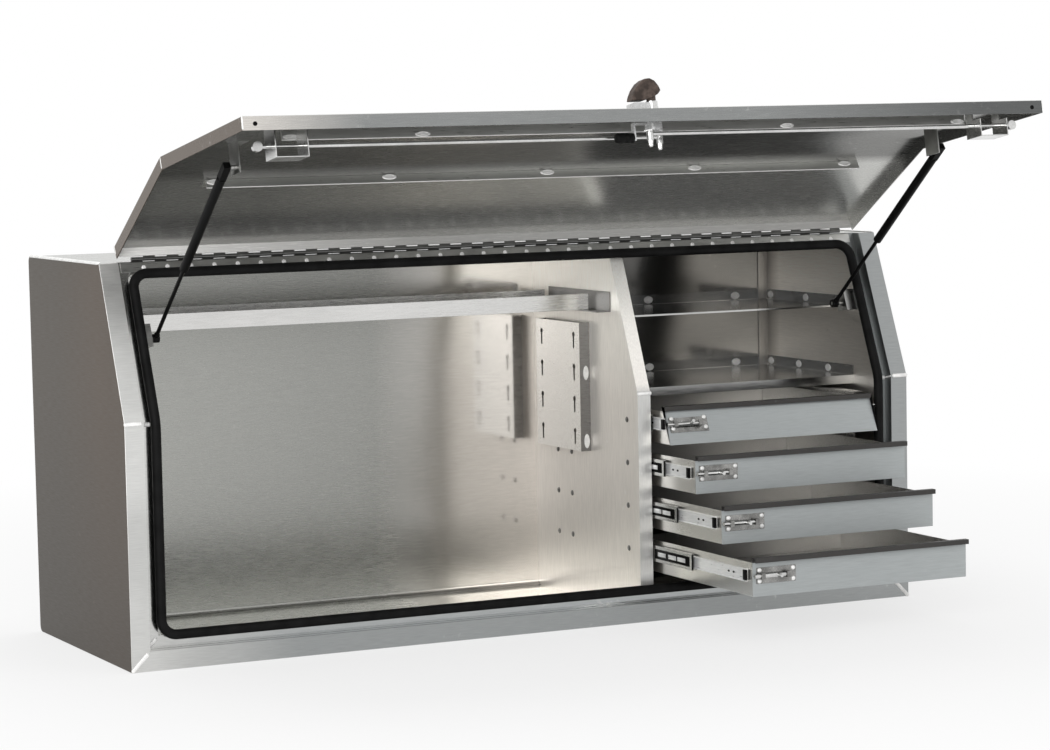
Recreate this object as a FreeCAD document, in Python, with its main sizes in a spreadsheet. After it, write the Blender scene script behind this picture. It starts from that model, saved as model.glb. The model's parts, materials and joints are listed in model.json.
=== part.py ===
import FreeCAD, Part
import math
import os
from types import SimpleNamespace

import Sketcher

# A sloped-front aluminium truck toolbox, shown with its lid up and its drawers drawn out.
# X runs along the box, +Y to its back, +Z up; the origin is under the middle of the floor.

doc = FreeCAD.newDocument("truck_toolbox")
book = doc.addObject("Spreadsheet::Sheet", "Sizes")

SIZES = {
    # Body
    "width": (1800.0, "overall length of the box"),
    "depth": (600.0, "front face to back"),
    "height": (800.0, "floor to top"),
    "knee_height": (490.0, "height at which the front starts to slope back"),
    "slope_run": (128.0, "how far the slope goes back"),
    "wall": (2.5, "body and lid sheet"),
    "bend_radius": (14.0, "outer radius of the two back bends"),
    "end_flange": (25.0, "back flange of an end panel"),
    # Frame round the opening
    "face_width": (40.0, "visible face of posts and sill"),
    "gutter_depth": (24.0, "face to gutter floor"),
    "ledge_width": (26.0, "gutter floor up to the seal lip"),
    "lip_height": (7.0, "seal lip above the gutter floor"),
    "header_ledge": (20.0, "slope distance from the top edge to the upper lip"),
    "seal_diameter": (20.0, "bulb seal"),
    "seal_grip": (2.0, "how far the seal is pushed over its lip"),
    "seal_corner": (32.0, "seal radius at the corners of the opening"),
    "seal_knee_radius": (90.0, "seal radius at the knee"),
    # Hinge
    "hinge_rise": (5.0, "hinge axis above the top sheet"),
    "knuckle_radius": (4.0, "hinge knuckle"),
    "pin_radius": (2.0, "hinge pin"),
    "running_gap": (0.1, "clearance of a turning or sliding fit"),
    "clear_gap": (0.5, "clearance of pieces that pass without touching"),
    "leaf_gauge": (1.5, "hinge leaf sheet"),
    "leaf_width": (21.0, "hinge leaf below its knuckle"),
    "hinge_pitch": (50.0, "knuckle pair and rivet spacing"),
    "hinge_end": (12.0, "hinge end to the gutter wall"),
    "rivet_radius": (4.2, "rivet head"),
    "rivet_height": (2.0, "rivet head"),
    # Lid
    "lid_proud": (5.0, "lid skin in front of the frame face"),
    "lid_gap": (2.5, "gap between lid and frame"),
    "lid_flange": (26.0, "depth of the flange round the lid"),
    "lid_open_angle": (99.5, "degrees from shut to fully up"),
    "front_rib_height": (151.0, "standing leg of the lower lid rib above the floor"),
    "front_rib_depth": (26.0, "standing leg of the lower lid rib"),
    "middle_rib_down": (250.0, "standing leg of the upper lid rib, down the slope"),
    "middle_rib_depth": (19.0, "standing leg of the upper lid rib"),
    "rib_foot": (25.0, "welded leg of both lid ribs"),
    "rib_gauge": (2.0, "both lid ribs"),
    "rib_inset": (158.0, "end of the box to a rib's end"),
    # Lock
    "lock_height": (100.0, "lock above the floor"),
    "barrel_radius": (17.0, "lock barrel"),
    "barrel_length": (33.0, "lock barrel behind the lid skin"),
    "spindle_radius": (5.0, "lock spindle"),
    "escutcheon_width": (96.0, "plate under the handle"),
    "escutcheon_height": (46.0, "plate under the handle"),
    "escutcheon_gauge": (3.0, "plate under the handle"),
    "handle_neck": (9.0, "radius of the handle's neck"),
    "handle_reach": (62.0, "handle above its plate"),
    "handle_span": (64.0, "across the handle's paddle"),
    "handle_gauge": (24.0, "thickness of the paddle"),
    "lock_base": (34.0, "block beside the handle's neck"),
    "lock_base_height": (15.0, "block beside the handle's neck"),
    "knob_start": (46.0, "inside knob, from the lock's axis to its near end"),
    "knob_grip": (36.0, "inside knob, length"),
    "knob_depth": (45.0, "inside knob's axis behind the lid skin"),
    "inside_knob_radius": (8.5, "inside knob"),
    "knob_arm": (12.0, "width of the arm that holds the inside knob"),
    "knob_arm_gauge": (4.0, "arm that holds the inside knob"),
    "cam_arm": (21.0, "rod pivot from the spindle, both across and up"),
    "cam_gauge": (3.0, "lock cam plate"),
    "cam_width": (24.0, "lock cam plate"),
    "rod_radius": (4.0, "lock rod"),
    "roller_inset": (97.0, "end of the box to a roller, drawn back"),
    "roller_radius": (9.5, "roller at a rod's end"),
    "roller_width": (10.0, "roller at a rod's end"),
    "guide_inset": (155.0, "end of the box to a rod guide"),
    "guide_width": (65.0, "rod guide along the rod"),
    "guide_height": (52.0, "rod guide across the rod"),
    "guide_depth": (65.0, "rod guide off the lid skin"),
    # Gas struts
    "strut_inset": (110.0, "end of the box to a strut"),
    "strut_foot_down": (145.0, "lower stud, down the slope"),
    "strut_foot_in": (50.0, "lower stud, inside the slope"),
    "strut_head_height": (321.0, "upper stud with the lid shut"),
    "strut_head_in": (44.6, "upper stud behind the front face, lid shut"),
    "tube_radius": (9.0, "strut tube"),
    "tube_length": (282.0, "strut tube without its end"),
    "strut_rod_radius": (4.0, "strut rod"),
    "strut_rod_length": (310.0, "strut rod from the lower stud to its end in the tube"),
    "strut_end": (14.0, "width of a strut's end fitting"),
    "strut_end_length": (42.0, "length of a strut's end fitting"),
    "stud_radius": (4.0, "ball stud shank"),
    "stud_gap": (0.5, "stud to end fitting at the lid"),
    "bracket_gauge": (2.5, "strut bracket plate"),
    "bracket_size": (48.0, "strut bracket plate"),
    # Inside
    "bay_width": (612.0, "divider to the right end panel"),
    "divider_inset": (44.0, "divider front behind the frame face"),
    "divider_flange": (28.0, "front flange of the divider"),
    "divider_return": (12.0, "lip behind the divider flange"),
    "channel_depth": (25.0, "keyhole channel off the wall"),
    "channel_width": (215.0, "keyhole channel, front to back"),
    "channel_gap": (65.0, "keyhole channel to the back"),
    "channel_foot": (334.0, "bottom of the keyhole channel"),
    "channel_top": (618.0, "top of the keyhole channel"),
    "channel_gauge": (2.0, "keyhole channel sheet"),
    "keyhole_head": (6.0, "radius of a keyhole's head"),
    "keyhole_slot": (3.2, "half width of a keyhole's slot"),
    "keyhole_drop": (30.0, "head centre to the foot of the slot"),
    "shelf_floor": (648.0, "underside of the long tool shelf"),
    "shelf_lip": (35.0, "front of the long tool shelf"),
    "shelf_depth": (217.0, "long tool shelf, front to back"),
    "shelf_gap": (85.0, "long tool shelf to the back"),
    "shelf_gauge": (2.0, "shelf sheet"),
    "hanger_length": (299.0, "shelf hanger, front to back"),
    "hanger_height": (42.0, "upright leg of a shelf hanger"),
    "hanger_foot": (34.0, "level leg of a shelf hanger"),
    "upper_shelf_floor": (630.0, "underside of the short shelf"),
    "upper_shelf_depth": (330.0, "short shelf, to the back"),
    "short_flange": (24.0, "upturned edges of the short shelf and the deck"),
    "deck_floor": (474.0, "underside of the drawer deck"),
    "deck_depth": (385.0, "drawer deck, to the back"),
    "deck_lip": (19.0, "down-turned front of the drawer deck"),
    "shelf_hem": (4.0, "front edge of the short shelf"),
    "panel_above": (33.0, "side panel above the top slide's centre"),
    "screw_radius": (6.0, "slide screw head"),
    "screw_height": (2.0, "slide screw head"),
    # Drawers
    "drawer_width": (514.0, "tray and front"),
    "drawer_setback": (80.0, "shut drawer behind the front face"),
    "drawer_gap": (24.5, "shut tray to the back"),
    "drawer_gauge": (1.5, "drawer sheet"),
    "drawer_pitch": (93.0, "height from drawer to drawer"),
    "lowest_slide": (138.0, "slide centre of the lowest drawer"),
    "front_below": (43.0, "drawer front under the slide centre"),
    "front_above": (37.0, "drawer front over the slide centre"),
    "tray_below": (42.0, "tray floor under the slide centre"),
    "tray_above": (27.0, "tray side over the slide centre"),
    "drawer_lip": (12.0, "finger lip in front of the drawer"),
    "drawer_hook": (10.0, "down-turned edge of the finger lip"),
    "top_lean": (36.0, "how far the top drawer's front leans back"),
    "slide_gap": (13.0, "drawer side to cabinet wall"),
    "slide_setback": (100.0, "shut slides behind the front face"),
    "slide_back_gap": (20.0, "shut slides to the back"),
    "slide_gauge": (1.5, "slide sheet"),
    "outer_height": (45.0, "cabinet slide member"),
    "middle_height": (35.0, "middle slide member"),
    "inner_height": (26.0, "drawer slide member"),
    "drawn_one": (98.0, "how far the top drawer is out"),
    "drawn_two": (206.0, "how far the second drawer is out"),
    "drawn_three": (314.0, "how far the third drawer is out"),
    "drawn_four": (438.0, "how far the lowest drawer is out"),
    # Drawer bolts
    "latch_inset": (8.0, "latch plate from the drawer's left edge"),
    "latch_length": (92.0, "latch plate"),
    "latch_height": (33.0, "latch plate"),
    "latch_gauge": (1.5, "latch plate"),
    "bolt_radius": (4.5, "drawer bolt"),
    "bolt_length": (72.0, "drawer bolt"),
    "bolt_throw": (22.0, "drawer bolt travel"),
    "bolt_seat": (6.5, "bolt centre in front of the latch plate"),
    "guide_loop": (9.0, "bolt loop along the bolt"),
    "knob_radius": (3.5, "bolt knob"),
    "knob_length": (13.0, "bolt knob"),
}


class Size:
    """A length that carries both its value and the sheet formula behind it."""

    def __init__(self, value, formula):
        self.value = value
        self.formula = formula

    def __add__(self, other):
        other = as_size(other)
        return Size(self.value + other.value, f"({self.formula} + {other.formula})")

    def __sub__(self, other):
        other = as_size(other)
        return Size(self.value - other.value, f"({self.formula} - {other.formula})")

    def __mul__(self, other):
        other = as_size(other)
        return Size(self.value * other.value, f"({self.formula} * {other.formula})")

    def __truediv__(self, other):
        other = as_size(other)
        return Size(self.value / other.value, f"({self.formula} / {other.formula})")

    def __neg__(self):
        return Size(-self.value, f"(0 - {self.formula})")

    def __radd__(self, other):
        return as_size(other) + self

    def __rsub__(self, other):
        return as_size(other) - self

    def __rmul__(self, other):
        return as_size(other) * self


def as_size(number):
    return number if isinstance(number, Size) else Size(float(number), f"({float(number)})")


def root(size):
    return Size(math.sqrt(size.value), f"sqrt({size.formula})")


def cosine(degrees):
    return Size(math.cos(math.radians(degrees.value)), f"cos({degrees.formula} * 1deg)")


def sine(degrees):
    return Size(math.sin(math.radians(degrees.value)), f"sin({degrees.formula} * 1deg)")


def heading(across, up):
    """The angle in degrees from the first direction towards the second."""
    value = math.degrees(math.atan2(up.value, across.value))
    return Size(value, f"(atan2({up.formula}; {across.formula}) / 1deg)")


for row, (alias, (number, note)) in enumerate(SIZES.items(), start=1):
    book.set(f"A{row}", alias)
    book.set(f"B{row}", str(number))
    book.setAlias(f"B{row}", alias)
    book.set(f"C{row}", note)
doc.recompute()
s = SimpleNamespace(**{a: Size(n, f"Sizes.{a}") for a, (n, _) in SIZES.items()})

# Building blocks

TURN = {
    "x": FreeCAD.Rotation(FreeCAD.Vector(0, 1, 0), 90),
    "y": FreeCAD.Rotation(FreeCAD.Vector(1, 0, 0), -90),
    "z": FreeCAD.Rotation(),
}
nodes = []


def bind(thing, prop, size):
    thing.setExpression(prop, as_size(size).formula)


def place(thing, corner):
    for axis, size in zip("xyz", corner):
        bind(thing, f"Placement.Base.{axis}", size)


def turned(thing, degrees, corner):
    """Turns a piece about the X axis, then moves it."""
    turn = FreeCAD.Rotation(FreeCAD.Vector(1, 0, 0), degrees.value)
    thing.Placement = FreeCAD.Placement(FreeCAD.Vector(), turn)
    bind(thing, "Placement.Rotation.Angle", degrees)
    place(thing, corner)
    return thing


def box(name, x, y, z):
    """A block between the low and high values along each axis."""
    block = doc.addObject("Part::Box", name)
    for prop, (low, high) in zip(("Length", "Width", "Height"), (x, y, z)):
        bind(block, prop, as_size(high) - low)
    place(block, (x[0], y[0], z[0]))
    return block


def round_bar(name, axis, start, radius, length):
    """A round bar that starts at a point and runs along +X, +Y or +Z."""
    bar = doc.addObject("Part::Cylinder", name)
    bar.Placement = FreeCAD.Placement(FreeCAD.Vector(), TURN[axis])
    bind(bar, "Radius", radius)
    bind(bar, "Height", length)
    place(bar, start)
    return bar


def prism(name, plane, start, length, outline):
    """A padded outline: (y, z) points along X from start, or (x, z) points along Y."""
    body = doc.addObject("PartDesign::Body", name)
    sketch = body.newObject("Sketcher::SketchObject", name + "_outline")
    base = next(f for f in body.Origin.OriginFeatures if f.Role == plane)
    sketch.AttachmentSupport = (base, [""])
    sketch.MapMode = "FlatFace"
    facing_back = plane == "XZ_Plane"
    bind(sketch, "AttachmentOffset.Base.z", -(as_size(start) + length) if facing_back else start)
    points = [(as_size(a), as_size(b)) for a, b in outline]
    count = len(points)
    corners = [FreeCAD.Vector(a.value, b.value, 0) for a, b in points]
    sketch.addGeometry([Part.LineSegment(corners[i], corners[(i + 1) % count]) for i in range(count)])
    for i in range(count):
        sketch.addConstraint(Sketcher.Constraint("Coincident", i, 2, (i + 1) % count, 1))
    for i, point in enumerate(points):
        for kind, size in zip(("DistanceX", "DistanceY"), point):
            index = sketch.addConstraint(Sketcher.Constraint(kind, -1, 1, i, 1, size.value))
            bind(sketch, f"Constraints[{index}]", size)
    pad = body.newObject("PartDesign::Pad", name + "_pad")
    pad.Profile = sketch
    bind(pad, "Length", length)
    return body


def along_x(name, x, outline):
    return prism(name, "YZ_Plane", x[0], as_size(x[1]) - x[0], outline)


def along_y(name, y, outline):
    return prism(name, "XZ_Plane", y[0], as_size(y[1]) - y[0], outline)


def joined(name, pieces):
    fuse = doc.addObject("Part::MultiFuse", name)
    fuse.Shapes = pieces
    fuse.Refine = True
    return fuse


def group(name, pieces):
    """Separate solids under one name."""
    bunch = doc.addObject("Part::Compound", name)
    bunch.Links = pieces
    return bunch


def cut(name, base, tools):
    left = doc.addObject("Part::Cut", name)
    left.Base = base
    left.Tool = tools[0] if len(tools) == 1 else group(name + "_tools", tools)
    left.Refine = True
    return left


def node(thing, label):
    thing.Label = label
    nodes.append(thing)
    return thing


def mirrored(side, low, high):
    """An X range measured from the middle outwards, on the left (-1) or the right (+1)."""
    return (low, high) if side > 0 else (-as_size(high), -as_size(low))


SIDES = (("left", -1), ("right", 1))

# Places worked out from the driving sizes

half = s.width / 2
front = -(s.depth / 2)
back = s.depth / 2
rise = s.height - s.knee_height
slope = root(s.slope_run * s.slope_run + rise * rise)
inner_half = half - s.wall
inner_back = back - s.wall
inner_top = s.height - s.wall
gutter_half = half - s.face_width
lip_half = gutter_half - s.ledge_width
gutter_back = s.gutter_depth + s.wall
lip_top = s.gutter_depth - s.lip_height
strut_along = half - s.strut_inset
guide_along = half - s.guide_inset
rod_reach = half - s.roller_inset
rib_half = half - s.rib_inset
divider_right = inner_half - s.bay_width
channel_back = back - s.channel_gap
channel_front = channel_back - s.channel_width
shelf_back = back - s.shelf_gap
shelf_front = shelf_back - s.shelf_depth
upper_shelf_front = back - s.upper_shelf_depth
deck_front = back - s.deck_depth
drawer_front = front + s.drawer_setback
drawer_length = back - s.drawer_gap - drawer_front - s.drawer_gauge
slide_start = front + s.slide_setback
slide_length = back - s.slide_back_gap - slide_start


def slant(down, inside):
    """A point a distance down the slope from its top edge and inside its face."""
    y = front + s.slope_run - down * s.slope_run / slope + inside * rise / slope
    z = s.height - down * rise / slope - inside * s.slope_run / slope
    return y, z


def slant_level(z, inside):
    """A point at a height, a distance inside the sloping face."""
    y = front + (z - s.knee_height) * s.slope_run / rise + inside * slope / rise
    return y, z


def knee(inside):
    """The bend of the front face, moved inwards."""
    return front + inside, s.knee_height - inside * (slope - rise) / s.slope_run


def front_strip(outer, inner, foot, top):
    """The outline of a strip that follows the front face between two insets."""
    outer = as_size(outer)
    inner = as_size(inner)
    return [
        (front + outer, foot), knee(outer), top(outer),
        top(inner), knee(inner), (front + inner, foot),
    ]


def at_level(z):
    return lambda inside: slant_level(z, inside)


def at_slope(down):
    return lambda inside: slant(as_size(down), inside)


def round_back_edges(body, name, radius, corners):
    """Rounds the edges along X whose middles lie at the given (y, z) corners."""
    doc.recompute()
    found = []
    for index, edge in enumerate(body.Shape.Edges, start=1):
        middle = edge.CenterOfMass
        along = edge.BoundBox.XLength > edge.BoundBox.YLength + edge.BoundBox.ZLength
        for y, z in corners:
            near = abs(middle.y - y.value) + abs(middle.z - z.value) < 0.01
            if along and near:
                found.append(f"Edge{index}")
    sharp = body.Tip
    fillet = body.newObject("PartDesign::Fillet", name)
    fillet.Base = (sharp, found)
    bind(fillet, "Radius", radius)


# Body sheets

def make_wrapper():
    """Floor, back and top folded from one sheet, notched at the top for the hinge."""
    outline = [
        (front + s.wall, 0), (back, 0), (back, s.height), slant_level(s.height, s.wall),
        slant_level(inner_top, s.wall), (inner_back, inner_top), (inner_back, s.wall),
        (front + s.wall, s.wall),
    ]
    body = along_x("wrapper", (-inner_half, inner_half), outline)
    round_back_edges(body, "wrapper_outer_bends", s.bend_radius, [(back, as_size(0)), (back, s.height)])
    inner_corners = [(inner_back, s.wall), (inner_back, inner_top)]
    round_back_edges(body, "wrapper_inner_bends", s.bend_radius - s.wall, inner_corners)
    notch_back = slant_level(s.height, gutter_back)[0]
    notch_half = gutter_half + s.wall
    notch = box("hinge_notch", (-notch_half, notch_half), (front, notch_back),
                (s.height - s.face_width, s.height + s.wall))
    node(cut("wrapper_sheet", body, [notch]), "wrapper_sheet")


def make_end_panel(side_name, side):
    outline = [
        (front + s.wall, 0), (back, 0), (back, s.height), slant_level(s.height, s.wall), knee(s.wall),
    ]
    name = f"{side_name}_end_panel"
    plate = along_x(name + "_plate", mirrored(side, inner_half, half), outline)
    round_back_edges(plate, name + "_bends", s.bend_radius, [(back, as_size(0)), (back, s.height)])
    flange = box(name + "_flange", mirrored(side, inner_half - s.end_flange, inner_half),
                 (inner_back - s.wall, inner_back), (s.bend_radius, s.height - s.bend_radius))
    node(joined(name, [plate, flange]), name)


def corner_wedge(name, side, under):
    """The half of a lower corner that a mitre takes away, under or over its diagonal."""
    reach = s.face_width + s.ledge_width + s.wall + s.wall
    outline = [(side * half, 0), (side * (half - reach), reach)]
    outline.append((side * (half - reach), 0) if under else (side * half, reach))
    return along_y(name, (front - s.wall, front + s.gutter_depth + s.face_width), outline)


def make_post(side_name, side):
    """Folded side post: face, gutter wall, gutter floor and seal lip, mitred at the foot."""
    name = f"{side_name}_post"
    top = at_level(s.height)
    lip_end = at_slope(s.header_ledge + s.wall)
    strips = [
        ("face", (gutter_half, half), front_strip(0, s.wall, as_size(0), top)),
        ("gutter", (gutter_half, gutter_half + s.wall), front_strip(0, gutter_back, as_size(0), top)),
        ("ledge", (lip_half - s.wall, gutter_half + s.wall),
         front_strip(s.gutter_depth, gutter_back, as_size(0), top)),
        ("lip", (lip_half - s.wall, lip_half), front_strip(lip_top, gutter_back, as_size(0), lip_end)),
    ]
    pieces = [along_x(f"{name}_{part}", mirrored(side, *x), outline) for part, x, outline in strips]
    folded = joined(name + "_folded", pieces)
    node(cut(name, folded, [corner_wedge(name + "_mitre", side, under=True)]), name)


def make_sill():
    """Folded sill under the opening, mitred into both posts."""
    lip = s.face_width + s.ledge_width
    outline = [
        (front, 0), (front + s.wall, 0), (front + s.wall, s.face_width - s.wall),
        (front + gutter_back, s.face_width - s.wall), (front + gutter_back, lip + s.wall),
        (front + lip_top, lip + s.wall), (front + lip_top, lip), (front + s.gutter_depth, lip),
        (front + s.gutter_depth, s.face_width), (front, s.face_width),
    ]
    rail = along_x("sill_folded", (-half, half), outline)
    wedges = [corner_wedge(f"sill_mitre_{n}", side, under=False) for n, side in SIDES]
    node(cut("sill_rail", rail, wedges), "sill_rail")


def make_header():
    """Strip that carries the hinge, with the upper seal lip."""
    lower = s.header_ledge + s.wall
    outline = [
        slant_level(s.height, s.gutter_depth), slant_level(s.height, gutter_back),
        slant(lower, gutter_back), slant(lower, lip_top),
        slant(s.header_ledge, lip_top), slant(s.header_ledge, s.gutter_depth),
    ]
    span = lip_half - s.wall
    node(along_x("hinge_header", (-span, span), outline), "hinge_header")


def make_seal():
    """One length of bulb seal pushed over the lip, butted at the middle of the sill."""
    radius = s.seal_diameter.value / 2
    inset = lip_top - s.seal_diameter / 2 + s.seal_grip
    x = (lip_half - s.wall / 2).value
    foot = (s.face_width + s.ledge_width + s.wall / 2).value
    upper = [v.value for v in slant(s.header_ledge + s.wall / 2, inset)]
    bend = [v.value for v in knee(inset)]
    low_y = (front + inset).value
    gap = s.clear_gap.value / 2
    corners = [
        FreeCAD.Vector(-gap, low_y, foot), FreeCAD.Vector(-x, low_y, foot),
        FreeCAD.Vector(-x, *bend), FreeCAD.Vector(-x, *upper), FreeCAD.Vector(x, *upper),
        FreeCAD.Vector(x, *bend), FreeCAD.Vector(x, low_y, foot), FreeCAD.Vector(gap, low_y, foot),
    ]
    tight = s.seal_corner.value
    easy = s.seal_knee_radius.value
    radii = [tight, easy, tight, tight, easy, tight]
    edges = []
    last = corners[0]
    for i, bend_radius in enumerate(radii, start=1):
        toward = (corners[i - 1] - corners[i]).normalize()
        away = (corners[i + 1] - corners[i]).normalize()
        half_angle = toward.getAngle(away) / 2
        setback = bend_radius / math.tan(half_angle)
        enter = corners[i] + toward * setback
        leave = corners[i] + away * setback
        middle_way = (toward + away).normalize()
        inside = bend_radius / math.sin(half_angle) - bend_radius
        edges.append(Part.LineSegment(last, enter).toShape())
        edges.append(Part.Arc(enter, corners[i] + middle_way * inside, leave).toShape())
        last = leave
    edges.append(Part.LineSegment(last, corners[-1]).toShape())
    path = Part.Wire(edges)
    ring = Part.Wire([Part.Circle(corners[0], FreeCAD.Vector(1, 0, 0), radius).toShape()])
    bulb = doc.addObject("Part::Feature", "seal_bulb")
    bulb.Shape = path.makePipeShell([ring], True, False)
    bulb.Placement = FreeCAD.Placement()
    frame_pieces = ("left_post", "right_post", "sill_rail", "hinge_header")
    node(cut("bulb_seal", bulb, [doc.getObject(n) for n in frame_pieces]), "bulb_seal")


# Hinge

hinge_inside = s.gutter_depth - s.knuckle_radius
hinge_down = -(s.hinge_rise + hinge_inside * s.slope_run / slope) * slope / rise
hinge_y, hinge_z = slant(hinge_down, hinge_inside)
hinge_half = gutter_half - s.hinge_end
hinge_count = int((hinge_half.value * 2) // s.hinge_pitch.value)
hinge_start = -(s.hinge_pitch * (hinge_count / 2))
bore = s.pin_radius + s.running_gap


def knuckles(name, offset):
    length = s.hinge_pitch / 2 - s.clear_gap
    return [
        round_bar(f"{name}_knuckle_{i}", "x",
                  (hinge_start + s.hinge_pitch * (i + offset) + s.clear_gap / 2, hinge_y, hinge_z),
                  s.knuckle_radius, length)
        for i in range(hinge_count)
    ]


def bored(name, label, pieces):
    hole = round_bar(name + "_bore", "x", (-half, hinge_y, hinge_z), bore, s.width)
    return node(cut(label, joined(name + "_solid", pieces), [hole]), label)


def slotted(name, offset, bottom, top, outline_of):
    """A leaf's knuckle edge: one tongue for each knuckle."""
    length = s.hinge_pitch / 2 - s.clear_gap
    return [
        along_x(f"{name}_tongue_{i}",
                (hinge_start + s.hinge_pitch * (i + offset) + s.clear_gap / 2,
                 hinge_start + s.hinge_pitch * (i + offset) + s.clear_gap / 2 + length),
                outline_of(bottom, top))
        for i in range(hinge_count)
    ]


leaf_edge = hinge_down + s.knuckle_radius + s.leaf_gauge
lid_leaf_low = hinge_down + s.knuckle_radius - s.leaf_gauge
lid_leaf_edge = hinge_inside - s.knuckle_radius - s.leaf_gauge


def make_hinge():
    """Full-length butt hinge: a leaf on the header, a leaf on the lid flange, and the pin."""
    inner = s.gutter_depth - s.leaf_gauge
    leaf_foot = leaf_edge + s.leaf_width

    def down_strip(top, foot):
        outer = s.gutter_depth
        return [slant(top, inner), slant(top, outer), slant(foot, outer), slant(foot, inner)]

    plate = along_x("body_leaf_plate", (-hinge_half, hinge_half), down_strip(leaf_edge, leaf_foot))
    tongues = slotted("body_leaf", 0, hinge_down, leaf_edge, down_strip)
    bored("body_leaf", "hinge_body_leaf", [plate] + tongues + knuckles("body_leaf", 0))

    flange_top = -s.lid_proud + s.wall

    def across_strip(outer, edge):
        upper = lid_leaf_low
        lower = lid_leaf_low + s.leaf_gauge
        return [slant(upper, outer), slant(lower, outer), slant(lower, edge), slant(upper, edge)]

    lid_plate = along_x("lid_leaf_plate", (-hinge_half, hinge_half),
                        across_strip(flange_top, lid_leaf_edge))
    lid_tongues = slotted("lid_leaf", 0.5, lid_leaf_edge, hinge_inside, across_strip)
    on_lid(bored("lid_leaf", "hinge_lid_leaf", [lid_plate] + lid_tongues + knuckles("lid_leaf", 0.5)))

    pin = round_bar("hinge_pin", "x", (hinge_start, hinge_y, hinge_z), s.pin_radius, -hinge_start * 2)
    node(pin, "hinge_pin")


def rivet(name, at, facing):
    """A rivet head that stands on a surface and points along a direction."""
    head = doc.addObject("Part::Cone", name)
    bind(head, "Radius1", s.rivet_radius)
    bind(head, "Radius2", s.rivet_radius * 0.6)
    bind(head, "Height", s.rivet_height)
    turn = FreeCAD.Rotation(FreeCAD.Vector(0, 0, 1), FreeCAD.Vector(*facing))
    head.Placement = FreeCAD.Placement(FreeCAD.Vector(), turn)
    place(head, at)
    return head


def hinge_rivets():
    y, z = slant(leaf_edge + s.leaf_width * 0.55, s.gutter_depth - s.leaf_gauge)
    outward = (0, -rise.value, s.slope_run.value)
    return [rivet(f"hinge_rivet_{i}", (hinge_start + s.hinge_pitch * (i + 0.5), y, z), outward)
            for i in range(hinge_count)]


# The lid is drawn shut and then swung up about the hinge

swing = -s.lid_open_angle


def swung(y, z):
    """Where a point of the shut lid lies with the lid up."""
    dy = y - hinge_y
    dz = z - hinge_z
    return hinge_y + dy * cosine(swing) - dz * sine(swing), hinge_z + dy * sine(swing) + dz * cosine(swing)


def on_lid(thing):
    shift_y, shift_z = swung(as_size(0), as_size(0))
    return turned(thing, swing, (0, shift_y, shift_z))


lid_half = gutter_half - s.lid_gap
lid_skin = -s.lid_proud
lid_inside = lid_skin + s.wall
lid_back = front + lid_inside
lid_edge = lid_skin + s.lid_flange
lid_foot = s.face_width + s.lid_gap
lid_top = lid_leaf_low + s.leaf_gauge
rod_y = lid_back + s.barrel_length + s.clear_gap * 2 + s.cam_gauge + s.rod_radius


def make_lid_pan():
    """Lid skin with flanges all round, bored for the lock."""
    top = at_slope(lid_top)
    pieces = [along_x("lid_skin", (-lid_half, lid_half), front_strip(lid_skin, lid_inside, lid_foot, top))]
    for side_name, side in SIDES:
        pieces.append(along_x(f"lid_{side_name}_flange", mirrored(side, lid_half - s.wall, lid_half),
                              front_strip(lid_skin, lid_edge, lid_foot, top)))
    lower = lid_top + s.wall
    free = hinge_inside - s.knuckle_radius - s.clear_gap
    top_flange = [slant(lid_top, lid_skin), slant(lower, lid_skin), slant(lower, free), slant(lid_top, free)]
    pieces.append(along_x("lid_top_flange", (-lid_half, lid_half), top_flange))
    pieces.append(box("lid_foot_flange", (-lid_half, lid_half), (front + lid_skin, front + lid_edge),
                      (lid_foot, lid_foot + s.wall)))
    hole = round_bar("lock_hole", "y", (0, front + lid_skin - s.wall, s.lock_height),
                     s.barrel_radius + s.running_gap, s.wall * 3)
    on_lid(node(cut("lid_pan", joined("lid_folded", pieces), [hole]), "lid_pan"))


def make_lid_ribs():
    """Two angle ribs welded inside the lid, the upper one on the slope."""
    rib_x = (-rib_half, rib_half)
    deep = lid_back + s.front_rib_depth
    low = s.front_rib_height
    outline = [
        (lid_back, low), (deep, low), (deep, low + s.rib_gauge),
        (lid_back + s.rib_gauge, low + s.rib_gauge), (lid_back + s.rib_gauge, low + s.rib_foot),
        (lid_back, low + s.rib_foot),
    ]
    on_lid(node(along_x("lid_lower_rib", rib_x, outline), "lid_lower_rib"))
    lower = s.middle_rib_down
    upper = lower - s.rib_foot
    skin = lid_inside + s.rib_gauge
    inset = lid_inside + s.middle_rib_depth
    outline = [
        slant(lower, lid_inside), slant(lower, inset), slant(lower - s.rib_gauge, inset),
        slant(lower - s.rib_gauge, skin), slant(upper, skin), slant(upper, lid_inside),
    ]
    on_lid(node(along_x("lid_upper_rib", rib_x, outline), "lid_upper_rib"))


# Lock

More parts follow.
